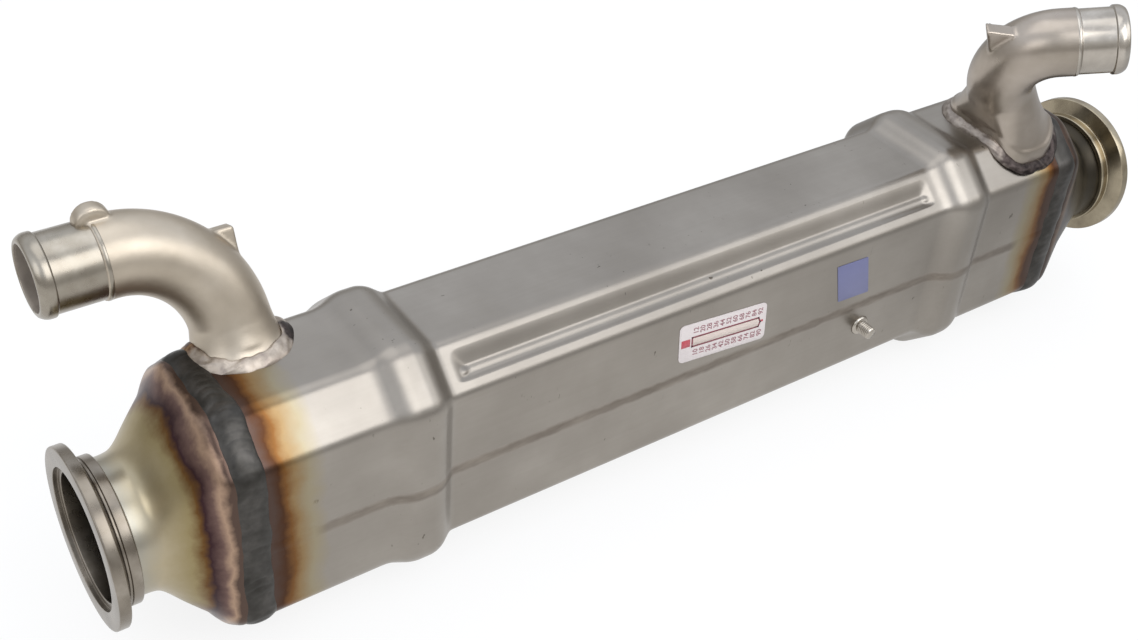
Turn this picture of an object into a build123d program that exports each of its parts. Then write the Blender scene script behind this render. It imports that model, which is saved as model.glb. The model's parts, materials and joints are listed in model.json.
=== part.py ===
from build123d import *
import math
import os
from dataclasses import dataclass

# Exhaust gas cooler: a gas core of flat tubes in a pressed two-shell steel jacket, a bell cone and a
# clamp flange at each end, and two cast elbows that carry the coolant in and out.
# Millimetres. Origin at the centre of the inlet flange's sealing face, +X along the gas path, +Z up.

# Jacket outline, the plain middle stretch: an upright box with four cut corners
HALF_WIDTH = 45.6
HALF_HEIGHT = 64.3
CORNER_CUT_Y = 20.4
CORNER_CUT_Z = 19.2
CORNER_RADIUS = 9.0
WALL = 2.0
SEAM_Z = -2.5

# Jacket along the gas path. The bands' places are counted from the jacket's two ends.
JACKET_START = 67.0
JACKET_LENGTH = 552.0
END_STEP = 2.8
BAND_HEIGHT = 7.5
BAND_FILLET = 8.0
INLET_BAND_AT = 89.0
INLET_BAND_LENGTH = 35.0
OUTLET_BAND_AT = 87.0
OUTLET_BAND_LENGTH = 34.0
BAND_RAMP = 11.0

# Stiffening groove in each cut corner
GROOVE_GAP = 7.0
GROOVE_WIDTH = 16.6
GROOVE_DEPTH = 2.4
GROOVE_OFFSET = 0.9
GROOVE_TAPER = 30.0
RIDGE_WIDTH = 2.6
RIDGE_OFFSET = 2.4
RIDGE_SETBACK = 9.0
RIDGE_HEIGHT = 2.0

# Header plates and gas tubes
HEADER_THICKNESS = 5.0
TUBE_ROWS = 7
TUBE_PITCH = 16.4
TUBE_HEIGHT = 12.4
TUBE_WALL = 0.8
TUBE_CORNER = 4.0
TUBE_SIDE_GAP = 4.4
SUPPORT_COUNT = 2
SUPPORT_THICKNESS = 2.0
SUPPORT_SIDE_GAP = 0.4

# Bell cones. A station is (share of the way from neck to lip, share of the octagon in the section).
LIP_LENGTH = 3.5
CONE_WALL = 2.2
NECK_RADIUS = 34.6
BELL_POINTS = 16
BELL_SHARPNESS = 12
BELL_STATIONS = ((0.0, 0.0), (0.2, 0.02), (0.47, 0.36), (0.75, 0.75), (1.0, 1.0))

# Clamp flanges
FLANGE_RADIUS = 46.0
FLANGE_RIM = 5.7
FLANGE_GROOVE_X = 8.6
FLANGE_GROOVE_RADIUS = 36.2
COLLAR_X = 10.2
COLLAR_RADIUS = 37.4
FLANGE_LENGTH = 15.3
REGISTER_RADIUS = 36.0
REGISTER_DEPTH = 2.5
GAS_BORE_RADIUS = 32.5
FLANGE_CHAMFER = 0.8
OUTLET_FACE_REACH = 80.2

# Ring welds between cone, header plate and jacket, shifted from the plate's middle to the jacket
RING_WELD_WIDTH = 14.5
RING_WELD_HEIGHT = 2.0
RING_WELD_SHIFT = 1.5

# Flat weld along each side seam
SEAM_WELD_WIDTH = 4.5
SEAM_WELD_HEIGHT = 0.5

# Coolant elbows
SPIGOT_RADIUS = 19.0
SPIGOT_BORE = 15.8
BEAD_RADIUS = 20.4
BEAD_LENGTH = 7.7
BEAD_RAMP = 0.8
BEAD_ROUND = 3.4
SPIGOT_TIP_RADIUS = 17.8
RIDGE_RING_RADIUS = 20.6
RIDGE_RING_LENGTH = 3.0
ELBOW_WELD_WIDTH = 5.0
ELBOW_WELD_HEIGHT = 3.8

BODY_RADIUS = 19.8
BASE_RISE = 1.7
FOOT_CORNER = 20.0
PORT_RADIUS = 16.5
LUG_RADIUS = 7.4
LUG_THICKNESS = 8.0
LUG_AT = (-1.3, 4.0, 17.0)
EAR_HALF_THICKNESS = 4.0

# Mounting stud and labels on the front face, counted back from the jacket's outlet end
STUD_BACK = 159.5
STUD_Z = -19.3
STUD_RADIUS = 4.0
STUD_LENGTH = 10.5
BOSS_RADIUS = 6.4
BOSS_HEIGHT = 1.6
BOSS_TAPER = 20.0
GAUGE_LABEL = (66.0, 27.0)
GAUGE_LABEL_BACK = 271.2
GAUGE_LABEL_Z = 19.0
BLUE_LABEL = (24.5, 28.6)
BLUE_LABEL_BACK = 173.7
BLUE_LABEL_Z = 19.5
LABEL_TILT = -4.0
LABEL_THICKNESS = 0.3
GAUGE_LABEL_CORNER = 3.5
BLUE_LABEL_CORNER = 0.9

# Worked out from the sizes above
JACKET_END = JACKET_START + JACKET_LENGTH
OUTLET_FACE_X = JACKET_END + OUTLET_FACE_REACH
INLET_PLATE_X = JACKET_START - HEADER_THICKNESS
OUTLET_PLATE_X = JACKET_END + HEADER_THICKNESS
INLET_BAND_X = JACKET_START + INLET_BAND_AT
OUTLET_BAND_X = JACKET_END - OUTLET_BAND_AT
INLET_RING_X = JACKET_START - HEADER_THICKNESS / 2 + RING_WELD_SHIFT
OUTLET_RING_X = JACKET_END + HEADER_THICKNESS / 2 - RING_WELD_SHIFT
CUT_ANGLE = math.degrees(math.atan2(CORNER_CUT_Y, CORNER_CUT_Z))
FLOOR_Z = HALF_HEIGHT - CORNER_CUT_Z
ELBOW_BASE_Z = HALF_HEIGHT + BASE_RISE


@dataclass(frozen=True)
class Elbow:
    """One cast elbow: a leaning riser on a shaped foot, one bend and a straight spigot."""

    base: tuple
    lean: tuple
    riser: float
    bend_radius: float
    outward: tuple
    tail: float
    spigot_length: float
    foot_radius: float
    flare: float
    foot_centre: tuple
    foot_size: tuple
    ledge: float
    ear_corner: tuple
    ear_drop: float
    ear_run: float
    ear_fall: float

    def directions(self):
        """Unit vectors up the riser and out of the spigot, and the bend angle in degrees."""
        up, out = Vector(*self.lean).normalized(), Vector(*self.outward).normalized()
        return up, out, math.degrees(math.acos(up.dot(out)))

    def toward(self):
        """Unit vector from the riser towards the bend's centre, square to the riser."""
        up, out, _ = self.directions()
        return (out - up * up.dot(out)).normalized()

    def bend_centre(self):
        """Point that the bend turns about."""
        up = self.directions()[0]
        return Vector(*self.base) + up * self.riser + self.toward() * self.bend_radius

    def joint(self):
        """Point where the casting's tail meets the turned spigot."""
        up, out, angle = self.directions()
        turn = math.radians(angle)
        away = up * math.sin(turn) - self.toward() * math.cos(turn)
        return self.bend_centre() + away * self.bend_radius + out * self.tail


INLET_ELBOW = Elbow(
    base=(JACKET_START + 26.4, 25.8, ELBOW_BASE_Z),
    lean=(0.0, 0.368, 0.930),
    riser=6.0,
    bend_radius=50.0,
    outward=(-1.0, 0.0, 0.0),
    tail=2.7,
    spigot_length=32.7,
    foot_radius=21.6,
    flare=5.0,
    foot_centre=(JACKET_START + 26.4, 23.6),
    foot_size=(44.0, 44.0),
    ledge=3.0,
    ear_corner=(48.0, 61.0),
    ear_drop=18.0,
    ear_run=16.0,
    ear_fall=0.0,
)
OUTLET_ELBOW = Elbow(
    base=(JACKET_END - 24.7, -11.8, ELBOW_BASE_Z),
    lean=(-0.48, -0.07, 0.875),
    riser=38.0,
    bend_radius=30.0,
    outward=(0.749, -0.635, 0.187),
    tail=10.6,
    spigot_length=26.4,
    foot_radius=25.4,
    flare=38.0,
    foot_centre=(JACKET_END - 27.0, -10.5),
    foot_size=(51.0, 63.0),
    ledge=8.0,
    ear_corner=(53.2, 35.0),
    ear_drop=25.0,
    ear_run=20.4,
    ear_fall=24.0,
)


def corner_points(offset=0.0):
    """Corners of the jacket outline, pushed outwards by offset, from the front side over the top."""
    half_w = HALF_WIDTH + offset
    half_h = HALF_HEIGHT + offset
    flat_y = HALF_WIDTH - CORNER_CUT_Y + offset * math.tan(math.radians(90 - CUT_ANGLE) / 2)
    flat_z = HALF_HEIGHT - CORNER_CUT_Z + offset * math.tan(math.radians(CUT_ANGLE) / 2)
    return half_w, half_h, flat_y, flat_z


def outline_face(offset, x):
    """Filled jacket outline at station x, pushed outwards by offset."""
    half_w, half_h, flat_y, flat_z = corner_points(offset)
    quarter = [(half_w, flat_z), (flat_y, half_h)]
    points = quarter + [(-y, z) for y, z in reversed(quarter)]
    points += [(-y, -z) for y, z in quarter] + [(y, -z) for y, z in reversed(quarter)]
    loop = FilletPolyline(*[(x, y, z) for y, z in points], radius=CORNER_RADIUS + offset, close=True)
    return make_face(loop)


def prism(offset, x0, x1):
    """Solid of the jacket outline between two stations."""
    return extrude(outline_face(offset, x0), amount=x1 - x0, dir=(1, 0, 0))


def wall_line():
    """Outer line of the jacket wall along the gas path, as (x, height above the plain stretch)."""
    in_start = INLET_BAND_X - INLET_BAND_LENGTH / 2
    in_end = INLET_BAND_X + INLET_BAND_LENGTH / 2
    out_start = OUTLET_BAND_X - OUTLET_BAND_LENGTH / 2
    out_end = OUTLET_BAND_X + OUTLET_BAND_LENGTH / 2
    points = [
        (JACKET_START, END_STEP),
        (in_start, END_STEP),
        (in_start + BAND_RAMP, BAND_HEIGHT),
        (in_end - BAND_RAMP, BAND_HEIGHT),
        (in_end, 0),
        (out_start, 0),
        (out_start + BAND_RAMP, BAND_HEIGHT),
        (out_end - BAND_RAMP, BAND_HEIGHT),
        (out_end, END_STEP),
        (JACKET_END, END_STEP),
    ]
    return FilletPolyline(*points, radius=BAND_FILLET)


def thick_line(line, thickness):
    """Face between a line and its parallel at the given thickness, negative inwards."""
    side = Side.LEFT if thickness > 0 else Side.RIGHT
    return make_face(offset(line, amount=abs(thickness), side=side, closed=True))


def swept_round(section, sign):
    """Carries a wall section (x, outward) round half of the jacket outline, from seam to seam."""
    half_w, half_h, flat_y, flat_z = corner_points()
    points = [(-half_w, SEAM_Z), (-half_w, sign * flat_z), (-flat_y, sign * half_h)]
    points += [(flat_y, sign * half_h), (half_w, sign * flat_z), (half_w, SEAM_Z)]
    path = FilletPolyline(*[(0, y, z) for y, z in points], radius=CORNER_RADIUS)
    pieces = []
    for edge in path.edges():
        along = edge.tangent_at(0)
        outward = Vector(1, 0, 0).cross(along) * sign
        frame = Plane(origin=edge.position_at(0), x_dir=(1, 0, 0), z_dir=Vector(1, 0, 0).cross(outward))
        face = frame * section
        if edge.geom_type == GeomType.LINE:
            pieces.append(extrude(face, amount=edge.length, dir=along))
        else:
            axis = Axis(edge.arc_center, (-sign, 0, 0))
            turn = math.degrees(edge.length / CORNER_RADIUS)
            pieces.append(revolve(face, axis=axis, revolution_arc=turn))
    return pieces[0].fuse(*pieces[1:]).clean()


def cut_corner_plane(sign, side, depth=0.0):
    """Plane on a cut corner: x along the gas path, normal outwards. Side is -1 in front."""
    _, _, flat_y, flat_z = corner_points()
    middle = ((HALF_WIDTH + flat_y) / 2, (HALF_HEIGHT + flat_z) / 2)
    normal = Vector(0, side * CORNER_CUT_Z, sign * CORNER_CUT_Y).normalized()
    centre = Vector(0, side * middle[0], sign * middle[1]) - normal * depth
    return Plane(origin=centre, x_dir=(1, 0, 0), z_dir=normal)


def groove_span():
    """Start and end of the stiffening grooves, between the two bands."""
    start = INLET_BAND_X + INLET_BAND_LENGTH / 2 + GROOVE_GAP
    end = OUTLET_BAND_X - OUTLET_BAND_LENGTH / 2 - GROOVE_GAP
    return start, end


def groove_shape(plane, side_shift, length, width, middle_x):
    """Round-ended slot outline on a cut corner, shifted towards the top or bottom flat."""
    return plane * Pos(middle_x, side_shift) * SlotOverall(length, width)


def add_grooves(shell, sign):
    """Presses a ridged groove into both cut corners of a half shell, with its bulge inside."""
    start, end = groove_span()
    length = end - start
    middle_x = (start + end) / 2
    for side in (-1, 1):
        plane = cut_corner_plane(sign, side)
        toward_flat = -sign * side
        inner = cut_corner_plane(sign, side, WALL)
        shift = toward_flat * GROOVE_OFFSET
        bulge = groove_shape(inner, shift, length, GROOVE_WIDTH, middle_x)
        shell += extrude(bulge, amount=-GROOVE_DEPTH, taper=GROOVE_TAPER)
        mouth = groove_shape(plane, shift, length, GROOVE_WIDTH, middle_x)
        shell -= extrude(mouth, amount=-GROOVE_DEPTH, taper=GROOVE_TAPER)
        floor = cut_corner_plane(sign, side, GROOVE_DEPTH)
        ridge_shift = shift - toward_flat * RIDGE_OFFSET
        ridge_length = length - 2 * RIDGE_SETBACK
        ridge = groove_shape(floor, ridge_shift, ridge_length, RIDGE_WIDTH, middle_x)
        shell += extrude(ridge, amount=RIDGE_HEIGHT, taper=GROOVE_TAPER / 2)
    return shell


def half_shell(sign):
    """Upper (1) or lower (-1) half of the jacket."""
    shell = swept_round(thick_line(wall_line(), -WALL), sign)
    return add_grooves(shell, sign)


def rounded_tube(width, height, corner, x0, x1, z):
    """Bar with a rounded section along the gas path, centred at height z."""
    section = Plane.YZ.offset(x0) * Pos(0, z) * RectangleRounded(width, height, corner)
    return extrude(section, amount=x1 - x0)


def tube_height(row):
    """Height of a tube row, counted from the bottom."""
    return (row - (TUBE_ROWS - 1) / 2) * TUBE_PITCH


def tube_width(row):
    """Widest flat tube that leaves the coolant gap to the side walls and the cut corners."""
    inner_half = HALF_WIDTH - WALL - TUBE_SIDE_GAP
    cut_slope = CORNER_CUT_Y / CORNER_CUT_Z
    reach = abs(tube_height(row)) + TUBE_HEIGHT / 2 - (HALF_HEIGHT - CORNER_CUT_Z)
    corner_half = inner_half - max(0.0, reach + GROOVE_DEPTH) * cut_slope
    return 2 * min(inner_half, corner_half)


def tube_bar(row, grow=0.0, x0=INLET_PLATE_X, x1=OUTLET_PLATE_X):
    """Filled body of one tube, made smaller all round by a negative grow."""
    corner = TUBE_CORNER + grow
    return rounded_tube(tube_width(row) + 2 * grow, TUBE_HEIGHT + 2 * grow, corner, x0, x1, tube_height(row))


def gas_tube(row):
    """Flat tube from header plate to header plate, flush with their outer faces."""
    return tube_bar(row) - tube_bar(row, -TUBE_WALL)


def header_plate(x0):
    """Plate that closes the coolant space and holds the tube ends."""
    plate = prism(END_STEP, x0, x0 + HEADER_THICKNESS)
    for row in range(TUBE_ROWS):
        plate -= tube_bar(row, 0.0, x0, x0 + HEADER_THICKNESS)
    return plate


def support_plate(index):
    """Thin plate that holds the tubes apart and leaves the coolant a way past its rim."""
    start, end = groove_span()
    x0 = start + (end - start) * (index + 1) / (SUPPORT_COUNT + 1)
    plate = prism(-WALL - GROOVE_DEPTH - SUPPORT_SIDE_GAP, x0, x0 + SUPPORT_THICKNESS)
    for row in range(TUBE_ROWS):
        plate -= tube_bar(row, 0.0, x0, x0 + SUPPORT_THICKNESS)
    return plate


def bell_section(x, blend, radius, offset):
    """Closed smooth section between a circle (blend 0) and the jacket outline (blend 1)."""
    half_w, half_h, _, flat_z = corner_points(offset)
    cut = math.radians(CUT_ANGLE)
    cut_reach = half_w * math.cos(cut) + flat_z * math.sin(cut)
    points = []
    for step in range(BELL_POINTS):
        angle = 2 * math.pi * (step + 0.5) / BELL_POINTS
        c, s = abs(math.cos(angle)), abs(math.sin(angle))
        sides = (half_w / c, half_h / s, cut_reach / (c * math.cos(cut) + s * math.sin(cut)))
        outline = sum(side ** -BELL_SHARPNESS for side in sides) ** (-1 / BELL_SHARPNESS)
        reach = radius + (outline - radius) * blend
        points.append((x, reach * math.cos(angle), reach * math.sin(angle)))
    return make_face(Spline(*points, periodic=True))


def bell(x_neck, x_lip, inset, ruled):
    """Solid bell between the round neck and the jacket outline. Inset makes the inner form."""
    faces = []
    for along, blend in BELL_STATIONS:
        x = x_neck + (x_lip - x_neck) * along
        faces.append(bell_section(x, blend, NECK_RADIUS - inset, END_STEP - inset))
    return loft(faces, ruled=ruled)


def cone(x_neck, x_plate):
    """Pressed gas cone: bell from the flange neck, then a short lip against the header plate."""
    direction = 1 if x_plate > x_neck else -1
    x_lip = x_plate - direction * LIP_LENGTH
    low, high = sorted((x_lip, x_plate))
    outer = bell(x_neck, x_lip, 0.0, False) + prism(END_STEP, low, high)
    inner = bell(x_neck, x_lip, CONE_WALL, True) + prism(END_STEP - CONE_WALL, low, high)
    return outer - inner


def flange():
    """Clamp flange turned about the gas axis, sealing face at x = 0, facing -X."""
    points = [
        (0, REGISTER_RADIUS),
        (0, FLANGE_RADIUS - FLANGE_CHAMFER),
        (FLANGE_CHAMFER, FLANGE_RADIUS),
        (FLANGE_RIM, FLANGE_RADIUS),
        (FLANGE_GROOVE_X, FLANGE_GROOVE_RADIUS),
        (COLLAR_X, FLANGE_GROOVE_RADIUS),
        (COLLAR_X, COLLAR_RADIUS),
        (FLANGE_LENGTH - FLANGE_CHAMFER, COLLAR_RADIUS),
        (FLANGE_LENGTH, COLLAR_RADIUS - FLANGE_CHAMFER),
        (FLANGE_LENGTH, GAS_BORE_RADIUS),
        (REGISTER_DEPTH, GAS_BORE_RADIUS),
        (REGISTER_DEPTH, REGISTER_RADIUS),
    ]
    profile = make_face(Polyline(*points, close=True))
    return revolve(profile, axis=Axis.X)


def ring_weld(middle_x):
    """Bead laid round the jacket outline over the joint of cone, plate and shell."""
    left = (middle_x - RING_WELD_WIDTH / 2, END_STEP)
    right = (middle_x + RING_WELD_WIDTH / 2, END_STEP)
    crown = ThreePointArc(left, (middle_x, END_STEP + RING_WELD_HEIGHT), right)
    section = make_face([crown, Line(right, left)])
    return swept_round(section, 1).fuse(swept_round(section, -1)).clean()


def seam_weld(side):
    """Flat bead along the joint of the two half shells. Side is -1 in front."""
    strip = thick_line(wall_line(), SEAM_WELD_HEIGHT)
    x_dir = (1, 0, 0)
    base = Vector(0, side * HALF_WIDTH, SEAM_Z - SEAM_WELD_WIDTH / 2)
    frame = Plane(origin=base, x_dir=x_dir, z_dir=Vector(1, 0, 0).cross(Vector(0, side, 0)))
    face = frame * strip
    full = extrude(face, amount=SEAM_WELD_WIDTH, dir=(0, 0, 1))
    start = INLET_RING_X + RING_WELD_WIDTH / 2
    end = OUTLET_RING_X - RING_WELD_WIDTH / 2
    room = Pos((start + end) / 2, base.Y, SEAM_Z) * Box(end - start, 4 * BAND_HEIGHT, 2 * SEAM_WELD_WIDTH)
    return full & room


def pipe(elbow, radius, start_radius, flare):
    """Round bar along an elbow's centre line, with a cone of the given height at its foot."""
    up, out, angle = elbow.directions()
    base = Vector(*elbow.base)
    top = base + up * elbow.riser
    riser = Plane(origin=base, z_dir=up) * Circle(radius)
    ring = Plane(origin=top, z_dir=up) * Circle(radius)
    hinge = Axis(elbow.bend_centre(), up.cross(out))
    tail = Plane(origin=elbow.joint() - out * elbow.tail, z_dir=out) * Circle(radius)
    solid = extrude(riser, amount=elbow.riser) + revolve(ring, axis=hinge, revolution_arc=angle)
    solid += extrude(tail, amount=elbow.tail)
    if flare:
        level = (Align.CENTER, Align.CENTER, Align.MIN)
        cone_frame = Plane(origin=base, z_dir=up)
        solid += cone_frame * Cone(start_radius, radius, flare, align=level)
    return solid


def spigot(elbow):
    """Turned hose spigot with its bead, and the small ring at the casting's end."""
    length = elbow.spigot_length
    profile = [
        (0, -RIDGE_RING_LENGTH),
        (RIDGE_RING_RADIUS, -RIDGE_RING_LENGTH),
        (RIDGE_RING_RADIUS, 0),
        (SPIGOT_RADIUS, 0),
        (SPIGOT_RADIUS, length - BEAD_LENGTH),
        (BEAD_RADIUS, length - BEAD_LENGTH + BEAD_RAMP),
        (BEAD_RADIUS, length - BEAD_ROUND),
        (SPIGOT_TIP_RADIUS, length),
        (0, length),
    ]
    turned = revolve(make_face(Plane.XZ * Polyline(*profile, close=True)), axis=Axis.Z)
    return Plane(origin=elbow.joint(), z_dir=elbow.directions()[1]) * turned


def foot_outline(elbow, grow):
    """Outline of an elbow's foot seen from above, grown all round."""
    width, depth = (size + 2 * grow for size in elbow.foot_size)
    return Plane.XY.offset(FLOOR_Z) * Pos(*elbow.foot_centre) * RectangleRounded(width, depth, FOOT_CORNER + grow)


def foot_pad(elbow, grow, height):
    """Pad of even height on the jacket's top and cut corner, inside the foot's outline."""
    column = extrude(foot_outline(elbow, grow), amount=CORNER_CUT_Z + END_STEP + height)
    return (column & prism(END_STEP + height, JACKET_START, JACKET_END)) - prism(
        END_STEP, JACKET_START, JACKET_END
    )


def port(elbow):
    """Round port from the bend's bore straight down through the foot and the jacket."""
    up = elbow.directions()[0]
    base = Vector(*elbow.base)
    frame = Plane(origin=base - up * 2 * CORNER_CUT_Z, z_dir=up)
    return extrude(frame * Circle(PORT_RADIUS), amount=2 * CORNER_CUT_Z + END_STEP)


def ear(elbow):
    """Flat triangular ear on the back of the bend, in the bend's plane."""
    up, toward = elbow.directions()[0], elbow.toward()
    corner = elbow.bend_centre() + up * elbow.ear_corner[0] - toward * elbow.ear_corner[1]
    fall = math.radians(elbow.ear_fall)
    run_end = corner + (toward * math.cos(fall) - up * math.sin(fall)) * elbow.ear_run
    web = make_face(Polyline(corner, corner - up * elbow.ear_drop, run_end, close=True))
    return extrude(web, amount=EAR_HALF_THICKNESS, dir=up.cross(toward), both=True)


def lug():
    """Round lug on top of the inlet elbow, beside its spigot."""
    centre = INLET_ELBOW.joint() + Vector(*LUG_AT)
    return Plane(origin=centre, z_dir=(0, 1, 0)) * Cylinder(LUG_RADIUS, LUG_THICKNESS)


def elbow_casting(elbow, marks):
    """Cast elbow: foot shaped to the jacket, bend, turned spigot and a clear bore."""
    body = foot_pad(elbow, 0.0, elbow.ledge)
    body += pipe(elbow, BODY_RADIUS, elbow.foot_radius, elbow.flare) - prism(
        END_STEP, JACKET_START, JACKET_END
    )
    body += spigot(elbow)
    for mark in marks:
        body += mark
    out = elbow.directions()[1]
    bore = pipe(elbow, SPIGOT_BORE, SPIGOT_BORE, 0.0)
    mouth = Plane(origin=elbow.joint(), z_dir=out) * Circle(SPIGOT_BORE)
    return body - bore - extrude(mouth, amount=elbow.spigot_length) - port(elbow)


def elbow_weld(elbow):
    """Fillet weld round an elbow's foot, of even height above the flat and the cut corner."""
    return foot_pad(elbow, ELBOW_WELD_WIDTH, ELBOW_WELD_HEIGHT) - foot_pad(elbow, 0.0, ELBOW_WELD_HEIGHT)


def front_plane(back, z):
    """Plane on the jacket's front face, normal towards -Y, counted back from the outlet end."""
    return Plane(origin=(JACKET_END - back, -HALF_WIDTH, z), x_dir=(1, 0, 0), z_dir=(0, -1, 0))


def label(size, corner, back, z):
    """Thin label stuck on the front face, slightly askew."""
    outline = RectangleRounded(size[0], size[1], corner)
    return front_plane(back, z) * Rot(0, 0, LABEL_TILT) * extrude(outline, amount=LABEL_THICKNESS)


def stud_boss():
    """Low round boss that the stud is welded on."""
    return front_plane(STUD_BACK, STUD_Z) * extrude(Circle(BOSS_RADIUS), amount=BOSS_HEIGHT, taper=BOSS_TAPER)


def stud():
    """Plain mounting stud on the boss."""
    body = extrude(Circle(STUD_RADIUS), amount=STUD_LENGTH - BOSS_HEIGHT)
    body = chamfer(body.faces().sort_by(Axis.Z)[-1].edges(), length=STUD_RADIUS / 5)
    return front_plane(STUD_BACK, STUD_Z) * Pos(0, 0, BOSS_HEIGHT) * body


def build():
    """All pieces of the cooler by name."""
    pieces = {}
    upper = half_shell(1) - port(INLET_ELBOW) - port(OUTLET_ELBOW)
    pieces["shell_upper"] = upper
    pieces["shell_lower"] = half_shell(-1)
    pieces["inlet_header_plate"] = header_plate(INLET_PLATE_X)
    pieces["outlet_header_plate"] = header_plate(JACKET_END)
    for row in range(TUBE_ROWS):
        pieces[f"gas_tube_{row + 1}"] = gas_tube(row)
    for index in range(SUPPORT_COUNT):
        pieces[f"tube_support_{index + 1}"] = support_plate(index)
    pieces["inlet_cone"] = cone(FLANGE_LENGTH, INLET_PLATE_X)
    pieces["outlet_cone"] = cone(OUTLET_FACE_X - FLANGE_LENGTH, OUTLET_PLATE_X)
    pieces["inlet_flange"] = flange()
    pieces["outlet_flange"] = Pos(OUTLET_FACE_X, 0, 0) * Rot(0, 0, 180) * flange()
    pieces["inlet_ring_weld"] = ring_weld(INLET_RING_X)
    pieces["outlet_ring_weld"] = ring_weld(OUTLET_RING_X)
    pieces["front_seam_weld"] = seam_weld(-1)
    pieces["rear_seam_weld"] = seam_weld(1)
    inlet_casting = elbow_casting(INLET_ELBOW, [lug(), ear(INLET_ELBOW)]) - pieces["inlet_ring_weld"]
    outlet_casting = elbow_casting(OUTLET_ELBOW, [ear(OUTLET_ELBOW)]) - pieces["outlet_ring_weld"]
    pieces["coolant_inlet_elbow"] = inlet_casting
    pieces["coolant_outlet_elbow"] = outlet_casting
    pieces["inlet_elbow_weld"] = elbow_weld(INLET_ELBOW) - pieces["inlet_ring_weld"] - inlet_casting
    pieces["outlet_elbow_weld"] = elbow_weld(OUTLET_ELBOW) - pieces["outlet_ring_weld"] - outlet_casting
    pieces["stud_boss"] = stud_boss()
    pieces["mounting_stud"] = stud()
    pieces["gauge_label"] = label(GAUGE_LABEL, GAUGE_LABEL_CORNER, GAUGE_LABEL_BACK, GAUGE_LABEL_Z)
    pieces["blue_label"] = label(BLUE_LABEL, BLUE_LABEL_CORNER, BLUE_LABEL_BACK, BLUE_LABEL_Z)
    return pieces


def main():
    """Builds every piece and writes one file for each."""
    os.makedirs("parts", exist_ok=True)
    for name, piece in build().items():
        export_step(piece, f"parts/{name}.step")


main()
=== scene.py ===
"""Exhaust gas cooler with a pressed steel jacket, bell cones, clamp flanges and cast coolant elbows.

The surfaces are worked out with numpy on parameter grids in millimetres, and stored in metres.
X runs along the gas path, Z points up and the labels face -Y.
"""

from __future__ import annotations

import json
import logging
import math
from dataclasses import dataclass
from enum import Enum

import bpy
import numpy as np
from mathutils import Matrix, Vector

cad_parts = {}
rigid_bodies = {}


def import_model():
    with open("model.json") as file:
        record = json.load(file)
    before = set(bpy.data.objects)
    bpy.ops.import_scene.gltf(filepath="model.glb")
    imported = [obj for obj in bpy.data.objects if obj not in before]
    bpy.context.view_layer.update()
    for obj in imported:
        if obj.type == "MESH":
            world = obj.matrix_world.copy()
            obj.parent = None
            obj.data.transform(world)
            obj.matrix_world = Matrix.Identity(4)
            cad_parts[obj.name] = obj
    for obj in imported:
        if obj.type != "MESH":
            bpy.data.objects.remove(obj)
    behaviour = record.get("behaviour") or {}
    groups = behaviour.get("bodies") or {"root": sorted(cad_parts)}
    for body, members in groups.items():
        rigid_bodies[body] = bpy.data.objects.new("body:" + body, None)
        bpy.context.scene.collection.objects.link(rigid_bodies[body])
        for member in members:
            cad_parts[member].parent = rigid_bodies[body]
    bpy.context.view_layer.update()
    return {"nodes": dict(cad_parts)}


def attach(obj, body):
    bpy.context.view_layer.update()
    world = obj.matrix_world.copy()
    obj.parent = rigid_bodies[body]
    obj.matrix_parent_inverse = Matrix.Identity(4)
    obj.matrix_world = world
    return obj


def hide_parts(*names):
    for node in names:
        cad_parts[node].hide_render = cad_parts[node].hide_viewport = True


LOG = logging.getLogger("gas_cooler")
MM = 0.001
BODY = "root"
# Height of the side seams, and width of their beads.
SEAM_Z = -2.5
SEAM_WIDTH = 7.4
# How far the jacket's ends stand out from its plain stretch.
END_STEP = 2.8
BLACK = "000000"
WHITE = "FFFFFF"
Array = np.ndarray
Point = tuple[float, float, float]
Pair = tuple[float, float]
Stops = tuple[tuple[float, str], ...]
Socket = bpy.types.NodeSocket
Value = float | Socket
Node = bpy.types.Node
Material = bpy.types.Material


def smooth_step(value: Array, low: float, high: float) -> Array:
    """Rises from 0 at low to 1 at high along the cubic 3t^2 - 2t^3.

    Args:
        value: Numbers to map.
        low: Where the rise starts.
        high: Where it ends.

    Returns:
        An array of the same shape between 0 and 1.
    """
    t = np.clip((value - low) / (high - low), 0.0, 1.0)
    return t * t * (3.0 - 2.0 * t)


def wave_noise(u: Array, v: Array, scale: float, seed: int) -> Array:
    """Sum of eight sine waves of random direction, a soft noise that repeats exactly each run.

    Args:
        u: First coordinate.
        v: Second coordinate.
        scale: Rough wavelength in the unit of u and v.
        seed: Chooses the waves.

    Returns:
        Noise of about -1 to 1 in the shape of u.
    """
    waves, gain = 8, 1.6
    rng = np.random.default_rng(seed)
    total = np.zeros(np.broadcast(u, v).shape)
    for _ in range(waves):
        turn, phase = rng.uniform(0, 2 * math.pi, 2)
        pace = 2 * math.pi / scale * rng.uniform(0.6, 1.7)
        total += np.sin(pace * (u * math.cos(turn) + v * math.sin(turn)) + phase)
    return total / waves * gain


def unit(vector: Array) -> Array:
    """The vector at length 1."""
    return vector / np.linalg.norm(vector)


def circle(count: int) -> Array:
    """Angles of even steps round a full turn."""
    return np.linspace(0, 2 * math.pi, count, endpoint=False)


def hermite(at: Array, knots: Array, values: Array, slopes: Array) -> Array:
    """Cubic curve through knots with a given slope at each.

    Args:
        at: Where to read the curve, within the knots.
        knots: Rising positions.
        values: Heights at the knots.
        slopes: Slopes at the knots.

    Returns:
        Heights in the shape of at.
    """
    index = np.clip(np.searchsorted(knots, at, side="right") - 1, 0, len(knots) - 2)
    step = knots[index + 1] - knots[index]
    t = (at - knots[index]) / step
    rise = (2 * t - 3) * t * t
    return (
        values[index] * (rise + 1)
        - values[index + 1] * rise
        + slopes[index] * step * t * (1 - t) ** 2
        + slopes[index + 1] * step * t * t * (t - 1)
    )


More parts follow.
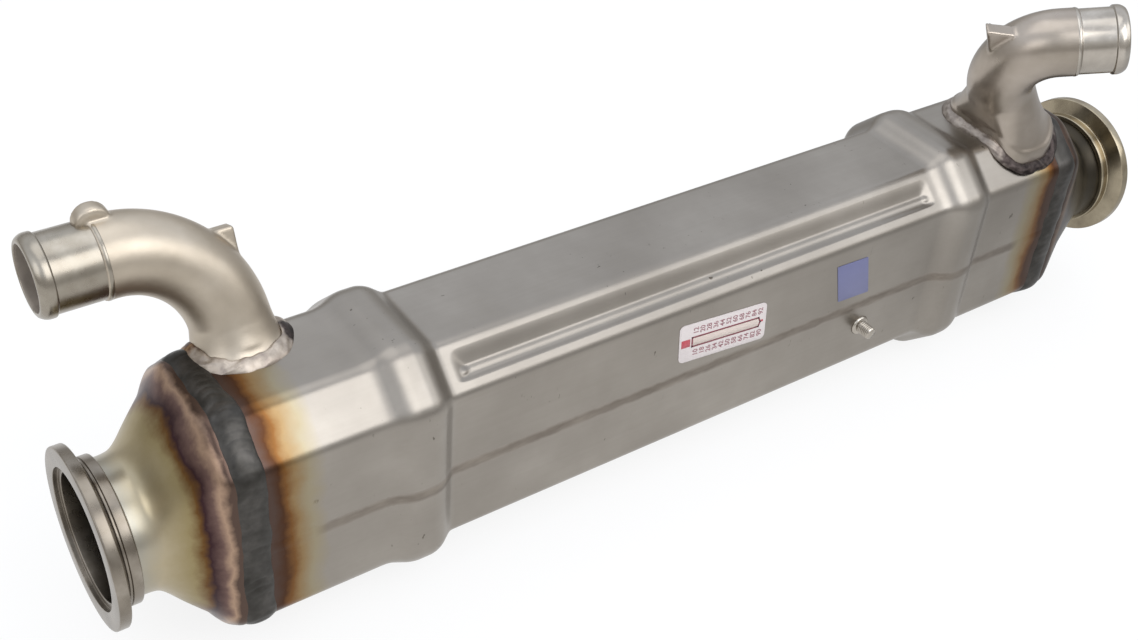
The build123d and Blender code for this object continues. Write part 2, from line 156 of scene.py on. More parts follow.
def rounded_profile(corners: list[Point], steps: int) -> Array:
    """Closed polygon with each corner turned into a short quadratic curve.

    Args:
        corners: Points with the distance at which each corner's curve starts.
        steps: Points on each curve.

    Returns:
        Points (n, 2).
    """
    data = np.array(corners)
    spot, reach = data[:, :2], data[:, 2:]
    before, after = np.roll(spot, 1, axis=0), np.roll(spot, -1, axis=0)
    start = spot + (before - spot) / np.linalg.norm(before - spot, axis=1, keepdims=True) * reach
    end = spot + (after - spot) / np.linalg.norm(after - spot, axis=1, keepdims=True) * reach
    t = np.linspace(0, 1, steps)[None, :, None]
    curve = start[:, None] * (1 - t) ** 2 + 2 * spot[:, None] * t * (1 - t) + end[:, None] * t ** 2
    return curve.reshape(-1, 2)


def round_gas_axis(x: Array, radius: Array, angle: Array) -> Array:
    """Points at a radius round the gas axis: (x, radius cos angle, radius sin angle).

    Args:
        x: Stations along the gas axis (n,).
        radius: Distances from it, (n, 1) or (n, m).
        angle: Directions round it from +Y (m,).

    Returns:
        Points (n, m, 3).
    """
    grid = np.empty((len(x), len(angle), 3))
    grid[..., 0] = x[:, None]
    grid[..., 1] = radius * np.cos(angle)
    grid[..., 2] = radius * np.sin(angle)
    return grid


@dataclass(frozen=True)
class Grid:
    """A surface as an array of points, rows along u and columns along v.

    Attributes:
        points: Points (rows, columns, 3) in millimetres.
        closed_u: The last row joins the first.
        closed_v: The last column joins the first.
        capped: A face closes each end row.
    """

    points: Array
    closed_u: bool = False
    closed_v: bool = False
    capped: bool = False

    def faces(self, first: int, flip: bool) -> list[list[int]]:
        """Quads between neighbouring points, and one face each for a capped grid's end rows.

        Args:
            first: Number of the grid's first point in the mesh.
            flip: Turns the faces round.

        Returns:
            Lists of point numbers.
        """
        turn = -1 if flip else 1
        rows, columns = self.points.shape[:2]
        index = np.arange(rows * columns).reshape(rows, columns) + first
        across = np.roll(index, -1, axis=1) if self.closed_v else index[:, 1:]
        left = index if self.closed_v else index[:, :-1]
        if self.closed_u:
            upper, upper_across = np.roll(left, -1, axis=0), np.roll(across, -1, axis=0)
        else:
            upper, upper_across = left[1:], across[1:]
            left, across = left[:-1], across[:-1]
        quads = np.stack([left, across, upper_across, upper], axis=-1).reshape(-1, 4)
        faces = quads[:, ::turn].tolist()
        if self.capped:
            faces += [index[0, ::-turn].tolist(), index[-1, ::turn].tolist()]
        return faces


def mesh_from_grids(name: str, grids: list[Grid], flip: bool = False) -> bpy.types.Mesh:
    """Joins several surfaces into one mesh, in metres.

    Args:
        name: Name of the mesh.
        grids: Surfaces in millimetres.
        flip: Turns the faces round, where the grid runs the other way.

    Returns:
        The mesh, smooth shaded.
    """
    points, faces, first = [], [], 0
    for grid in grids:
        points.append(grid.points.reshape(-1, 3))
        faces += grid.faces(first, flip)
        first += len(points[-1])
    mesh = bpy.data.meshes.new(name)
    mesh.from_pydata((np.concatenate(points) * MM).tolist(), [], faces)
    mesh.polygons.foreach_set("use_smooth", np.ones(len(mesh.polygons), bool))
    mesh.update()
    return mesh


def place_object(name: str, data: bpy.types.ID) -> bpy.types.Object:
    """Puts an object with the given data into the scene.

    Args:
        name: Name of the object.
        data: Its mesh, curve, light or camera.

    Returns:
        The new object.
    """
    obj = bpy.data.objects.new(name, data)
    bpy.context.scene.collection.objects.link(obj)
    return obj


def riding(name: str, mesh: bpy.types.Mesh, material: Material) -> bpy.types.Object:
    """Puts a mesh into the scene as a visible piece that rides on the body.

    Args:
        name: Name of the piece.
        mesh: Its mesh in metres.
        material: Its finish.

    Returns:
        The new object.
    """
    mesh.materials.clear()
    mesh.materials.append(material)
    obj = place_object(name, mesh)
    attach(obj, BODY)
    LOG.info("%s: %d faces", name, len(mesh.polygons))
    return obj


def piece(
    name: str,
    grids: list[Grid],
    material: Material,
    nodes: tuple[str, ...] = (),
    flip: bool = False,
) -> bpy.types.Object:
    """Makes one visible piece from its surfaces, and hides the solids it stands for.

    Args:
        name: Name of the piece.
        grids: Its surfaces in millimetres.
        material: Its finish.
        nodes: Solids that it replaces.
        flip: Turns the faces round.

    Returns:
        The new object.
    """
    obj = riding(name, mesh_from_grids(name, grids, flip), material)
    if nodes:
        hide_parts(*nodes)
    return obj


def apply_modifiers(obj: bpy.types.Object) -> None:
    """Fixes an object's modifiers into its mesh.

    Args:
        obj: The object, which keeps no modifier.
    """
    graph = bpy.context.evaluated_depsgraph_get()
    done = bpy.data.meshes.new_from_object(obj.evaluated_get(graph))
    obj.modifiers.clear()
    old = obj.data
    obj.data = done
    bpy.data.meshes.remove(old)


@dataclass(frozen=True)
class Outline:
    """The jacket's cross-section: an upright box with four cut, rounded corners, in millimetres."""

    half_width: float = 45.6
    half_height: float = 64.3
    cut_y: float = 20.4
    cut_z: float = 19.2
    corner_radius: float = 7.5

    @property
    def tilt(self) -> float:
        """Angle of a cut corner's normal above the Y axis."""
        return math.atan2(self.cut_y, self.cut_z)

    @property
    def cut_reach(self) -> float:
        """Distance of a cut corner's flat from the gas axis."""
        flat_z = self.half_height - self.cut_z
        return self.half_width * math.cos(self.tilt) + flat_z * math.sin(self.tilt)

    def corners(self) -> Array:
        """The eight corner points, counter-clockwise seen from -X, starting at the front's top.

        Returns:
            Points (8, 2) as y and z.
        """
        w, h = self.half_width, self.half_height
        y, z = w - self.cut_y, h - self.cut_z
        return np.array([(-w, z), (-y, h), (y, h), (w, z), (w, -z), (y, -h), (-y, -h), (-w, -z)])

    def bend(self, number: int) -> tuple[Array, Array, float]:
        """Directions of the sides before and after a corner, and the angle between them.

        Args:
            number: The corner, 0 to 7.

        Returns:
            Direction into the corner, direction out of it and the angle in radians.
        """
        corners = self.corners()
        into = unit(corners[number] - corners[number - 1])
        away = unit(corners[(number + 1) % 8] - corners[number])
        return into, away, math.acos(float(np.clip(into @ away, -1, 1)))

    def lap(self, arc_steps: int, cut_steps: int, flat_steps: int, side_steps: int) -> dict[str, Array]:
        """Samples one lap round the outline, starting at the foot of the front's top corner.

        Each corner becomes an arc of corner_radius that touches both neighbouring sides, and each
        side a straight row of points between its two arcs.

        Args:
            arc_steps: Points on each rounded corner.
            cut_steps: Points across each cut corner's flat.
            flat_steps: Points across top and bottom.
            side_steps: Points on the front and back.

        Returns:
            Arrays point (n, 2), normal (n, 2) and length (n,) along the lap.
        """
        corners = self.corners()
        points, normals = [], []
        for number, steps in enumerate([cut_steps, flat_steps, cut_steps, side_steps] * 2):
            here, after = corners[number], corners[(number + 1) % 8]
            into, away, turn = self.bend(number)
            start_normal = np.array([-into[1], into[0]])
            end_normal = np.array([-away[1], away[0]])
            tangent = self.corner_radius * math.tan(turn / 2)
            centre = here - into * tangent - start_normal * self.corner_radius
            blend = np.linspace(0, 1, arc_steps)[:, None] * turn
            normal = start_normal * np.cos(blend) + into * np.sin(blend)
            points.append(centre + normal * self.corner_radius)
            normals.append(normal)
            *_, next_turn = self.bend((number + 1) % 8)
            end = after - away * self.corner_radius * math.tan(next_turn / 2)
            start = here + away * tangent
            along = np.linspace(0, 1, steps + 2)[1:-1, None]
            points.append(start + (end - start) * along)
            normals.append(np.repeat(end_normal[None], steps, axis=0))
        point, normal = np.concatenate(points), np.concatenate(normals)
        step = np.linalg.norm(np.diff(point, axis=0, prepend=point[:1]), axis=1)
        return {"point": point, "normal": normal, "length": np.cumsum(step)}

    def reach(self, angle: Array, offset: float, sharpness: Array) -> Array:
        """Distance from the axis to the outline, blended over the flats by a power mean.

        The outline is the nearest of its eight sides; the power mean of the sides' distances with a
        high sharpness follows them closely and rounds the corners.

        Args:
            angle: Direction round the axis from +Y, in radians.
            offset: How far the outline is pushed out.
            sharpness: Power of the mean.

        Returns:
            Distances in the shape of angle and sharpness together.
        """
        hair = 1e-9
        w, h, cut = self.half_width + offset, self.half_height + offset, self.cut_reach + offset
        c, s = np.abs(np.cos(angle)) + hair, np.abs(np.sin(angle)) + hair
        sides = [w / c, h / s, cut / (c * math.cos(self.tilt) + s * math.sin(self.tilt))]
        total = sum((cut / side) ** sharpness for side in sides)
        return cut * total ** (-1 / sharpness)


class Half(Enum):
    """The two pressed shells of the jacket."""

    UPPER = 1
    LOWER = -1


@dataclass(frozen=True)
class Jacket:
    """The two pressed half shells with their bands, end steps and corner grooves.

    Attributes:
        outline: Cross-section of the plain stretch.
        start: Station of the inlet end.
        end: Station of the outlet end.
        wall: Thickness of the sheet.
        band_height: How far the bands stand out from the plain stretch.
        ramp: Length of a band's slopes.
        inlet_band: Stations where the band near the inlet starts and ends.
        outlet_band: Stations of the band near the outlet.
        fillet: Half the length over which a slope's ends are rounded.
        crisp: How much shorter that is at the foot of each band's outlet side.
        crisp_width: Distance from such a foot over which the fillet grows back.
        groove: Stations where the corner grooves start and end.
        groove_half: Half the groove's width.
        groove_depth: Depth at its lowest line.
        groove_offset: Distance of its middle from the cut corner's middle.
        groove_low: Distance of its lowest line from its own middle.
        groove_swell: Share of its slopes that is curved.
        valley: Rounding of the lowest line.
        ridge_half: Half the width of the ridge in the groove.
        ridge_height: Height of the ridge.
        ridge_setback: Distance between the ends of groove and ridge.
        cut_edge: Closeness to the cut corner's normal at which the groove starts and is whole.
        seam_margin: Stretch beside a seam that holds no points but the seam's own.
    """

    outline: Outline = Outline()
    start: float = 67.0
    end: float = 619.0
    wall: float = 2.0
    band_height: float = 7.5
    ramp: float = 9.8
    inlet_band: Pair = (138.5, 173.5)
    outlet_band: Pair = (515.0, 549.0)
    fillet: float = 4.6
    crisp: float = 2.6
    crisp_width: float = 6.0
    groove: Pair = (179.5, 509.0)
    groove_half: float = 8.6
    groove_depth: float = 3.1
    groove_offset: float = 0.7
    groove_low: float = -3.7
    groove_swell: float = 0.3
    valley: float = 1.2
    ridge_half: float = 3.6
    ridge_height: float = 1.0
    ridge_setback: float = 6.0
    cut_edge: Pair = (0.985, 0.9995)
    seam_margin: float = 0.5

    def wall_height(self, x: Array) -> Array:
        """Height of the wall above the plain stretch: straight ramps averaged over the fillet's width.

        The fillet is narrower at the foot of each band's outlet side, where the wall turns crisply.

        Args:
            x: Stations along the gas path.

        Returns:
            Heights in millimetres.
        """
        knots = [
            (self.start, END_STEP),
            (self.inlet_band[0], END_STEP),
            (self.inlet_band[0] + self.ramp, self.band_height),
            (self.inlet_band[1] - self.ramp, self.band_height),
            (self.inlet_band[1], 0.0),
            (self.outlet_band[0], 0.0),
            (self.outlet_band[0] + self.ramp, self.band_height),
            (self.outlet_band[1] - self.ramp, self.band_height),
            (self.outlet_band[1], END_STEP),
            (self.end, END_STEP),
        ]
        at, height = zip(*knots)
        reach = np.full_like(x, self.fillet, dtype=float)
        for foot in (self.inlet_band[1], self.outlet_band[1]):
            reach -= self.crisp * np.exp(-(((x - foot) / self.crisp_width) ** 2))
        shifts = np.linspace(-1, 1, 13)
        return sum(np.interp(x + shift * reach, at, height) for shift in shifts) / len(shifts)

    def stations(self) -> Array:
        """Stations along the gas path, close together at the bands and the grooves' ends.

        Returns:
            Rising stations (n,).
        """
        stretches = [
            (self.start, 141.0, 26),
            (141.0, 190.0, 60),
            (190.0, 200.0, 10),
            (200.0, 488.0, 26),
            (488.0, 498.0, 10),
            (498.0, 553.0, 66),
            (553.0, self.end, 26),
        ]
        parts = [np.linspace(a, b, n, endpoint=False) for a, b, n in stretches]
        return np.append(np.concatenate(parts), self.end)

    def groove_depth_at(self, x: Array, across: Array) -> Array:
        """Depth of a corner groove: two slopes that meet in its lowest line, where a ridge rises.

        Each slope falls from the rim to the lowest line, so the share of the depth is
        1 - (distance from that line) / (distance of the rim). Both distances d are taken as
        sqrt(d^2 + valley^2) - valley, which rounds the lowest line. Blunt ends come from the fourth
        power mean of the distances across and along. The ridge's section is one cosine wave.

        Args:
            x: Stations along the gas path.
            across: Distance across the cut corner from its middle, positive towards top or bottom.

        Returns:
            Depths in millimetres.
        """
        middle = across - self.groove_offset - self.groove_low
        rim = self.groove_half - self.groove_low * np.sign(middle)
        valley = self.valley
        sideways = (np.hypot(middle, valley) - valley) / (np.hypot(rim, valley) - valley)
        low, high = self.groove[0] + self.groove_half, self.groove[1] - self.groove_half
        past = np.abs(x - np.clip(x, low, high)) / self.groove_half
        share = np.clip(1 - (sideways ** 4 + past ** 4) ** 0.25, 0, 1)
        swell = self.groove_swell
        depth = self.groove_depth * ((1 - swell) * share + swell * smooth_step(share, 0.0, 1.0))
        ridge_low, ridge_high = self.groove[0] + self.ridge_setback, self.groove[1] - self.ridge_setback
        ridge = np.hypot(x - np.clip(x, ridge_low, ridge_high), middle) / self.ridge_half
        return depth - self.ridge_height * (1 + np.cos(np.minimum(ridge, 1.0) * math.pi)) / 2

    def surface(self, x: Array, lap: dict[str, Array]) -> Array:
        """Points of the outer surface: the lap pushed out along its normals by the wall's height.

        Args:
            x: Stations along the gas path.
            lap: Samples of the outline.

        Returns:
            Points (n, m, 3).
        """
        tilt = self.outline.tilt
        point, normal = lap["point"], lap["normal"]
        corner = np.array([math.cos(tilt), math.sin(tilt)])
        along = np.array([-math.sin(tilt), math.cos(tilt)])
        middle = np.array([
            self.outline.half_width - self.outline.cut_y / 2,
            self.outline.half_height - self.outline.cut_z / 2,
        ])
        across = (np.abs(point) - middle) @ along
        on_cut = smooth_step(np.abs(normal) @ corner, *self.cut_edge)
        depth = self.groove_depth_at(x[:, None], across[None, :]) * on_cut[None, :]
        height = self.wall_height(x)[:, None] - depth
        grid = np.empty((len(x), len(point), 3))
        grid[..., 0] = x[:, None]
        grid[..., 1:] = point[None] + normal[None] * height[..., None]
        return grid

    def half_lap(self, half: Half) -> dict[str, Array]:
        """The part of a lap that one shell covers, with its two seam points added.

        Args:
            half: Which shell.

        Returns:
            Arrays point (n, 2) and normal (n, 2), from the front seam to the rear one.
        """
        lap = self.outline.lap(arc_steps=12, cut_steps=54, flat_steps=16, side_steps=20)
        point, normal = lap["point"], lap["normal"]
        if half is Half.LOWER:
            point, normal = point * [1, -1], normal * [1, -1]
            keep = point[:, 1] < SEAM_Z - self.seam_margin
        else:
            keep = point[:, 1] > SEAM_Z + self.seam_margin
        point, normal = point[keep], normal[keep]
        order = np.argsort(np.arctan2(np.abs(point[:, 1] - SEAM_Z), point[:, 0]))[::-1]
        point, normal = point[order], normal[order]
        w = self.outline.half_width
        point = np.vstack([[-w, SEAM_Z], point, [w, SEAM_Z]])
        normal = np.vstack([[-1, 0], normal, [1, 0]])
        return {"point": point, "normal": normal}

    def build(self, finish: Material) -> None:
        """Makes both shells as sheets with the wall's thickness.

        Args:
            finish: Their finish.
        """
        for half in Half:
            grid = Grid(self.surface(self.stations(), self.half_lap(half)))
            word = half.name.lower()
            name, nodes = f"jacket_{word}_shell", (f"shell_{word}",)
            obj = piece(name, [grid], finish, nodes, flip=half is Half.UPPER)
            wall = obj.modifiers.new("wall", "SOLIDIFY")
            wall.thickness = self.wall * MM
            wall.offset = -1.0
            apply_modifiers(obj)


@dataclass(frozen=True)
class SeamBeads:
    """Flat welds along both side seams, which follow the jacket's bands and steps.

    Attributes:
        jacket: Jacket that the beads lie on.
        span: Stations where the beads start and end.
        rise: Height of a bead's crown.
        wander: How far its edges wander.
        ripple: Share of the crown that ripples.
        pitch: Length of a ripple.
        lag: How far a ripple's sides trail behind its middle, in radians.
        clearance: Gap that keeps a bead's edges off the sheet.
    """

    jacket: Jacket
    span: Pair = (72.0, 614.0)
    rise: float = 0.2
    wander: float = 0.35
    ripple: float = 0.05
    pitch: float = 1.6
    lag: float = 1.4
    clearance: float = 0.01

    def bead(self, side: int) -> Grid:
        """Bead of one side: its crown is rise (1 - u^2)^1.5 over the share u of its half width.

        Args:
            side: -1 for the front, 1 for the rear.

        Returns:
            An open grid.
        """
        x = np.linspace(*self.span, 600)
        across = np.linspace(-1, 1, 13)
        edge = self.wander * wave_noise(x, x * 0, 9.0, 5 + side)
        crown = self.rise * (1 - across ** 2) ** 1.5
        ripple = self.ripple * np.sin(x[:, None] * 2 * math.pi / self.pitch - self.lag * np.abs(across))
        height = self.jacket.wall_height(x)[:, None] + crown * (1 + ripple) + self.clearance
        grid = np.empty((len(x), len(across), 3))
        grid[..., 0] = x[:, None]
        grid[..., 1] = side * (self.jacket.outline.half_width + height)
        grid[..., 2] = SEAM_Z + across * (SEAM_WIDTH / 2 + edge[:, None])
        return Grid(grid)

    def build(self, finish: Material) -> None:
        """Makes both beads.

        Args:
            finish: Their finish.
        """
        for side, word in ((-1, "front"), (1, "rear")):
            nodes = (f"{word}_seam_weld",)
            piece(f"{word}_seam_bead", [self.bead(side)], finish, nodes, flip=side > 0)


@dataclass(frozen=True)
class RingWeld:
    """Bead round the jacket over the joint of cone, header plate and shell.

    Attributes:
        name: Name of the piece.
        node: Solid that it replaces.
        middle: Station of its middle line.
        seed: Chooses its unevenness.
        relief: Height of its ripples.
        outline: Cross-section that it runs round.
        width: Width of the bead.
        crown: Height of its arch above its edges.
        arch_power: Power that keeps the arch full towards its edges.
        pitch: Distance between ripples.
        lean: How far the crescents lean back, in radians.
        beat: How far the ripples run ahead or behind, in radians.
        trough: Part of a ripple's sine that lies below the arch.
        lumps: Height of the slow lumps.
        edge_wander: Share of the width by which its edges wander.
        drift: How far its middle line wanders.
        sunk: Depth of its edges below the surface of the end step.
        noise_radius: Radius of the circle on which its unevenness is read.
    """

    name: str
    node: str
    middle: float
    seed: int
    relief: float
    outline: Outline = Outline()
    width: float = 16.2
    crown: float = 2.6
    arch_power: float = 0.65
    pitch: float = 5.2
    lean: float = 5.5
    beat: float = 3.0
    trough: float = 0.6
    lumps: float = 0.2
    edge_wander: float = 0.08
    drift: float = 0.7
    sunk: float = 0.9
    noise_radius: float = 55.0

    def build(self, finish: Material) -> None:
        """Makes the bead: a low arch whose crescent ripples lean back from its middle line.

        A ripple is the absolute value of a sine that runs along the bead, whose phase lags by the
        square of the distance from the middle line, so that each crest is a crescent.

        Args:
            finish: Its finish.
        """
        lap = self.outline.lap(arc_steps=26, cut_steps=60, flat_steps=110, side_steps=190)
        point, normal, length = lap["point"], lap["normal"], lap["length"]
        across = np.linspace(-1, 1, 25)
        u = across[None, :]
        around = 2 * math.pi * length[:, None] / length[-1]
        east, north = np.cos(around) * self.noise_radius, np.sin(around) * self.noise_radius
        edge = self.edge_wander * wave_noise(east, north, 17.0, self.seed)
        drift = self.drift * wave_noise(east, north, 40.0, self.seed + 1)
        arch = np.clip(1 - u ** 2, 0, 1) ** self.arch_power
        count = round(length[-1] / self.pitch)
        beat = self.beat * wave_noise(east, north, 30.0, self.seed + 2)
        phase = count * around - self.lean * (1 - u ** 2) + beat
        strength = np.clip(0.5 + 0.5 * wave_noise(east, north, 22.0, self.seed + 4), 0.1, 1.0)
        ripple = (np.abs(np.sin(phase / 2)) - self.trough) * self.relief * strength
        aside = 6 * u
        lumps = self.lumps * wave_noise(east + aside, north - aside, 17.0, self.seed + 3)
        height = END_STEP - self.sunk + arch * (self.crown + ripple + lumps)
        grid = np.empty((len(point), len(across), 3))
        grid[..., 0] = self.middle + drift + u * (self.width / 2) * (1 + edge)
        grid[..., 1:] = point[:, None] + normal[:, None] * height[..., None]
        piece(self.name, [Grid(grid, closed_u=True)], finish, (self.node,))


@dataclass(frozen=True)
class Cone:
    """Bell cone with its straight lip, between flange neck and header plate.

    Attributes:
        name: Name of the piece.
        node: Solid that it replaces.
        neck_x: Station of its round end.
        lip_x: Station where the straight lip starts.
        plate_x: Station of the lip's end.
        outline: Cross-section that the lip takes.
        neck_radius: Outer radius of the round end.
        wall: Thickness of the sheet.
        sharpness: Power that shapes the corners at the neck, and what is added to it at the lip.
    """

    name: str
    node: str
    neck_x: float
    lip_x: float
    plate_x: float
    outline: Outline = Outline()
    neck_radius: float = 34.6
    wall: float = 2.2
    sharpness: Pair = (9.0, 30.0)

    @staticmethod
    def blend(along: Array) -> Array:
        """Share of the octagon in the section: a smooth S through the pressed form's stations.

        Args:
            along: Share of the way from neck to lip.

        Returns:
            Shares between 0 and 1.
        """
        knots = np.array([(0.0, 0.0), (0.2, 0.02), (0.47, 0.36), (0.76, 0.77), (0.9, 0.955), (1.0, 1.0)])
        slopes = np.array([0.0, 0.35, 1.5, 1.4, 1.1, 0.0])
        return hermite(along, knots[:, 0], knots[:, 1], slopes)

    def skin(self, inset: float, angle: Array) -> Array:
        """Points of the outer or inner form, whose radius blends from the neck's to the outline's.

        Args:
            inset: Distance inside the outer form.
            angle: Directions round the gas axis.

        Returns:
            Points (n, m, 3) from the neck to the lip's end.
        """
        along = np.linspace(0, 1, 46)
        part = self.blend(along)[:, None]
        sharp = self.sharpness[0] + self.sharpness[1] * smooth_step(along, 0.7, 1.0)[:, None]
        outline = self.outline.reach(angle[None, :], END_STEP - inset, sharp)
        radius = (self.neck_radius - inset) * (1 - part) + outline * part
        lip = np.linspace(0, 1, 4)[1:]
        bell = self.neck_x + (self.lip_x - self.neck_x) * along
        x = np.append(bell, self.lip_x + (self.plate_x - self.lip_x) * lip)
        radius = np.vstack([radius, np.repeat(radius[-1:], len(lip), axis=0)])
        return round_gas_axis(x, radius, angle)

    def build(self, finish: Material) -> None:
        """Makes outer and inner skins joined at both ends.

        Args:
            finish: Their finish.
        """
        angle = circle(280)
        both = np.vstack([self.skin(0.0, angle), self.skin(self.wall, angle)[::-1]])
        grid = Grid(both, closed_u=True, closed_v=True)
        piece(self.name, [grid], finish, (self.node,), flip=self.plate_x > self.neck_x)


@dataclass(frozen=True)
class Flange:
    """Turned clamp flange with a recessed register, rim groove and collar.

    Attributes:
        name: Name of the piece.
        node: Solid that it replaces.
        face_x: Station of its sealing face.
        direction: 1 where the part lies towards +X from the face, -1 where it lies towards -X.
        rim: Radius of the rim.
        rim_width: Length of the rim's cylinder.
        groove: Radius of the groove behind the rim, and where it starts and ends behind the face.
        collar: Radius of the collar.
        length: Length of the flange.
        bore: Radius of its bore.
        register: Radius of the recess in its face.
        register_depth: Depth of that recess.
    """

    name: str
    node: str
    face_x: float
    direction: int
    rim: float = 46.0
    rim_width: float = 5.7
    groove: Point = (36.2, 8.6, 10.2)
    collar: float = 37.4
    length: float = 15.3
    bore: float = 32.5
    register: float = 36.0
    register_depth: float = 2.5

    def profile(self) -> Array:
        """Closed section, with small rounds on its edges.

        Returns:
            Points (n, 2) as distance behind the face and radius.
        """
        groove, groove_start, groove_end = self.groove
        corners = [
            (0.0, self.register, 0.3),
            (0.0, self.rim, 0.9),
            (self.rim_width, self.rim, 0.6),
            (groove_start, groove, 0.8),
            (groove_end, groove, 0.4),
            (groove_end, self.collar, 0.3),
            (self.length, self.collar, 0.8),
            (self.length, self.bore, 0.3),
            (self.register_depth, self.bore, 0.5),
            (self.register_depth, self.register, 0.3),
        ]
        return rounded_profile(corners, 5)

    def build(self, finish: Material) -> None:
        """Carries the section round the gas axis.

        Args:
            finish: Its finish.
        """
        section = self.profile()
        x = self.face_x + self.direction * section[:, 0]
        grid = Grid(round_gas_axis(x, section[:, 1:], circle(200)), closed_u=True, closed_v=True)
        piece(self.name, [grid], finish, (self.node,), flip=self.direction < 0)


@dataclass(frozen=True)
class Elbow:
    """Cast coolant elbow: foot pad, leaning riser, one bend, turned spigot and cast marks.

    Attributes:
        name: Start of the pieces' names.
        node: Solid that casting and spigot replace.
        weld_name: Name of the weld round the foot.
        weld_node: Solid that this weld replaces.
        base: Point where the centre line starts, under the jacket's skin.
        lean: Direction of the riser.
        riser: Length of the centre line before its bend.
        bend_radius: Radius of the bend.
        outward: Direction of the spigot.
        tail: Length of the casting after the bend.
        spigot_length: Length of the turned spigot.
        foot_radius: Outer radius of the riser at its foot.
        flare: Length over which that radius falls to the body's.
        foot_centre: Middle of the foot seen from above.
        foot_size: Length and width of the foot.
        ledge: Height of the foot pad above the jacket.
        ear_corner: Corner of the ear, along the riser and away from the bend's centre.
        ear_drop: Length of the ear's edge down the riser.
        ear_run: Length of its edge along the bend.
        ear_fall: Angle at which that edge falls, in degrees.
        skirt: Height at which the skirt meets the riser.
        seed: Chooses the weld's unevenness.
        weld_half: Half the weld's width and thickness.
        outline: Cross-section of the jacket under the foot.
        body_radius: Outer radius of the casting.
        bore: Radius of the bore.
        foot_corner: Corner radius of the foot seen from above.
        land: Radius of the spigot's hose land.
        ear_half: Half the ear's thickness.
        bore_margin: Distance outside the bore up to which a face still counts as inside.
        voxel: Size of the cells that join the casting's forms into one skin.
        softening: Strength and number of the steps that round its edges.
        ring_steps: Points on each of the foot's rings.
    """

    name: str
    node: str
    weld_name: str
    weld_node: str
    base: Point
    lean: Point
    riser: float
    bend_radius: float
    outward: Point
    tail: float
    spigot_length: float
    foot_radius: float
    flare: float
    foot_centre: Pair
    foot_size: Pair
    ledge: float
    ear_corner: Pair
    ear_drop: float
    ear_run: float
    ear_fall: float
    skirt: float
    seed: int
    weld_half: Pair
    outline: Outline = Outline()
    body_radius: float = 19.8
    bore: float = 15.8
    foot_corner: float = 20.0
    land: float = 19.0
    ear_half: float = 4.0
    bore_margin: float = 0.2
    voxel: float = 0.85
    softening: tuple[float, int] = (0.5, 9)
    ring_steps: int = 160

    def frame(self) -> tuple[Array, Array, Array, Array, float]:
        """Directions and centre of the bend.

        Returns:
            Riser direction, spigot direction, direction towards the bend's centre, that centre and
            the bend's angle.
        """
        up, out = unit(np.array(self.lean)), unit(np.array(self.outward))
        toward = unit(out - up * (up @ out))
        centre = np.array(self.base) + up * self.riser + toward * self.bend_radius
        return up, out, toward, centre, math.acos(float(up @ out))

    def path(self, spacing: float) -> tuple[Array, Array, Array]:
        """Points, directions and running length of the centre line: line, arc, line.

        Args:
            spacing: Distance between neighbouring points.

        Returns:
            Arrays point (n, 3), direction (n, 3) and length (n,).
        """
        up, _, toward, centre, angle = self.frame()
        arc = self.bend_radius * angle
        whole = self.riser + arc + self.tail
        length = np.append(np.arange(0.0, whole, spacing), whole)
        turn = np.clip((length - self.riser) / self.bend_radius, 0, angle)[:, None]
        on_bend = centre + (up * np.sin(turn) - toward * np.cos(turn)) * self.bend_radius
        direction = up * np.cos(turn) + toward * np.sin(turn)
        before = np.minimum(length - self.riser, 0)[:, None]
        after = np.maximum(length - self.riser - arc, 0)[:, None]
        return on_bend + direction * (before + after), direction, length

    def tube(self, radius: Array, spacing: float, turns: int) -> Array:
        """Round tube of a varying radius along the centre line.

        Args:
            radius: Radius at each point of the centre line.
            spacing: Distance between these points.
            turns: Points round the tube.

        Returns:
            Points (n, turns, 3).
        """
        point, direction, _ = self.path(spacing)
        up, out, *_ = self.frame()
        side = unit(np.cross(up, out))
        across = np.cross(direction, side)
        angle = circle(turns)
        ring = side * np.cos(angle)[None, :, None] + across[:, None, :] * np.sin(angle)[None, :, None]
        return point[:, None] + ring * radius[:, None, None]

    def surface_z(self, y: Array, lift: float) -> Array:
        """Height of the jacket's end stretch over y, on its flat top or its cut corner.

        The lower of both is taken by a soft minimum, -k log(e^(-a/k) + e^(-b/k)).

        Args:
            y: Places across the jacket.
            lift: Height above its skin.

        Returns:
            Heights in the shape of y.
        """
        tilt, rise = self.outline.tilt, END_STEP + lift
        top = self.outline.half_height + rise
        slope = (self.outline.cut_reach + rise - np.abs(y) * math.cos(tilt)) / math.sin(tilt)
        softness, level = 2.0, 60
        both = np.exp(-(top - level) / softness) + np.exp(-(slope - level) / softness)
        return -softness * np.log(both) + level

    def foot_ring(self, grow: float, count: int) -> tuple[Array, Array]:
        """Foot outline seen from above: a rounded box as evenly spaced points.

        Args:
            grow: How far it is pushed out.
            count: Number of points.

        Returns:
            Points (count, 2) and their outward directions (count, 2).
        """
        half = np.array(self.foot_size) / 2 + grow
        corner = self.foot_corner + grow
        straight = np.maximum(half - corner, 0.05)
        angle = np.linspace(0, 2 * math.pi, 721)[:-1]
        direction = np.stack([np.cos(angle), np.sin(angle)], axis=1)
        dense = np.sign(direction) * straight + direction * corner
        closed = np.vstack([dense, dense[:1]])
        length = np.append(0, np.cumsum(np.linalg.norm(np.diff(closed, axis=0), axis=1)))
        at = np.linspace(0, length[-1], count, endpoint=False)
        ring = np.stack([np.interp(at, length, closed[:, k]) for k in (0, 1)], axis=1)
        ahead, behind = np.roll(ring, -1, axis=0), np.roll(ring, 1, axis=0)
        tangent = (ahead - behind) / np.linalg.norm(ahead - behind, axis=1, keepdims=True)
        return ring + self.foot_centre, np.stack([tangent[:, 1], -tangent[:, 0]], axis=1)

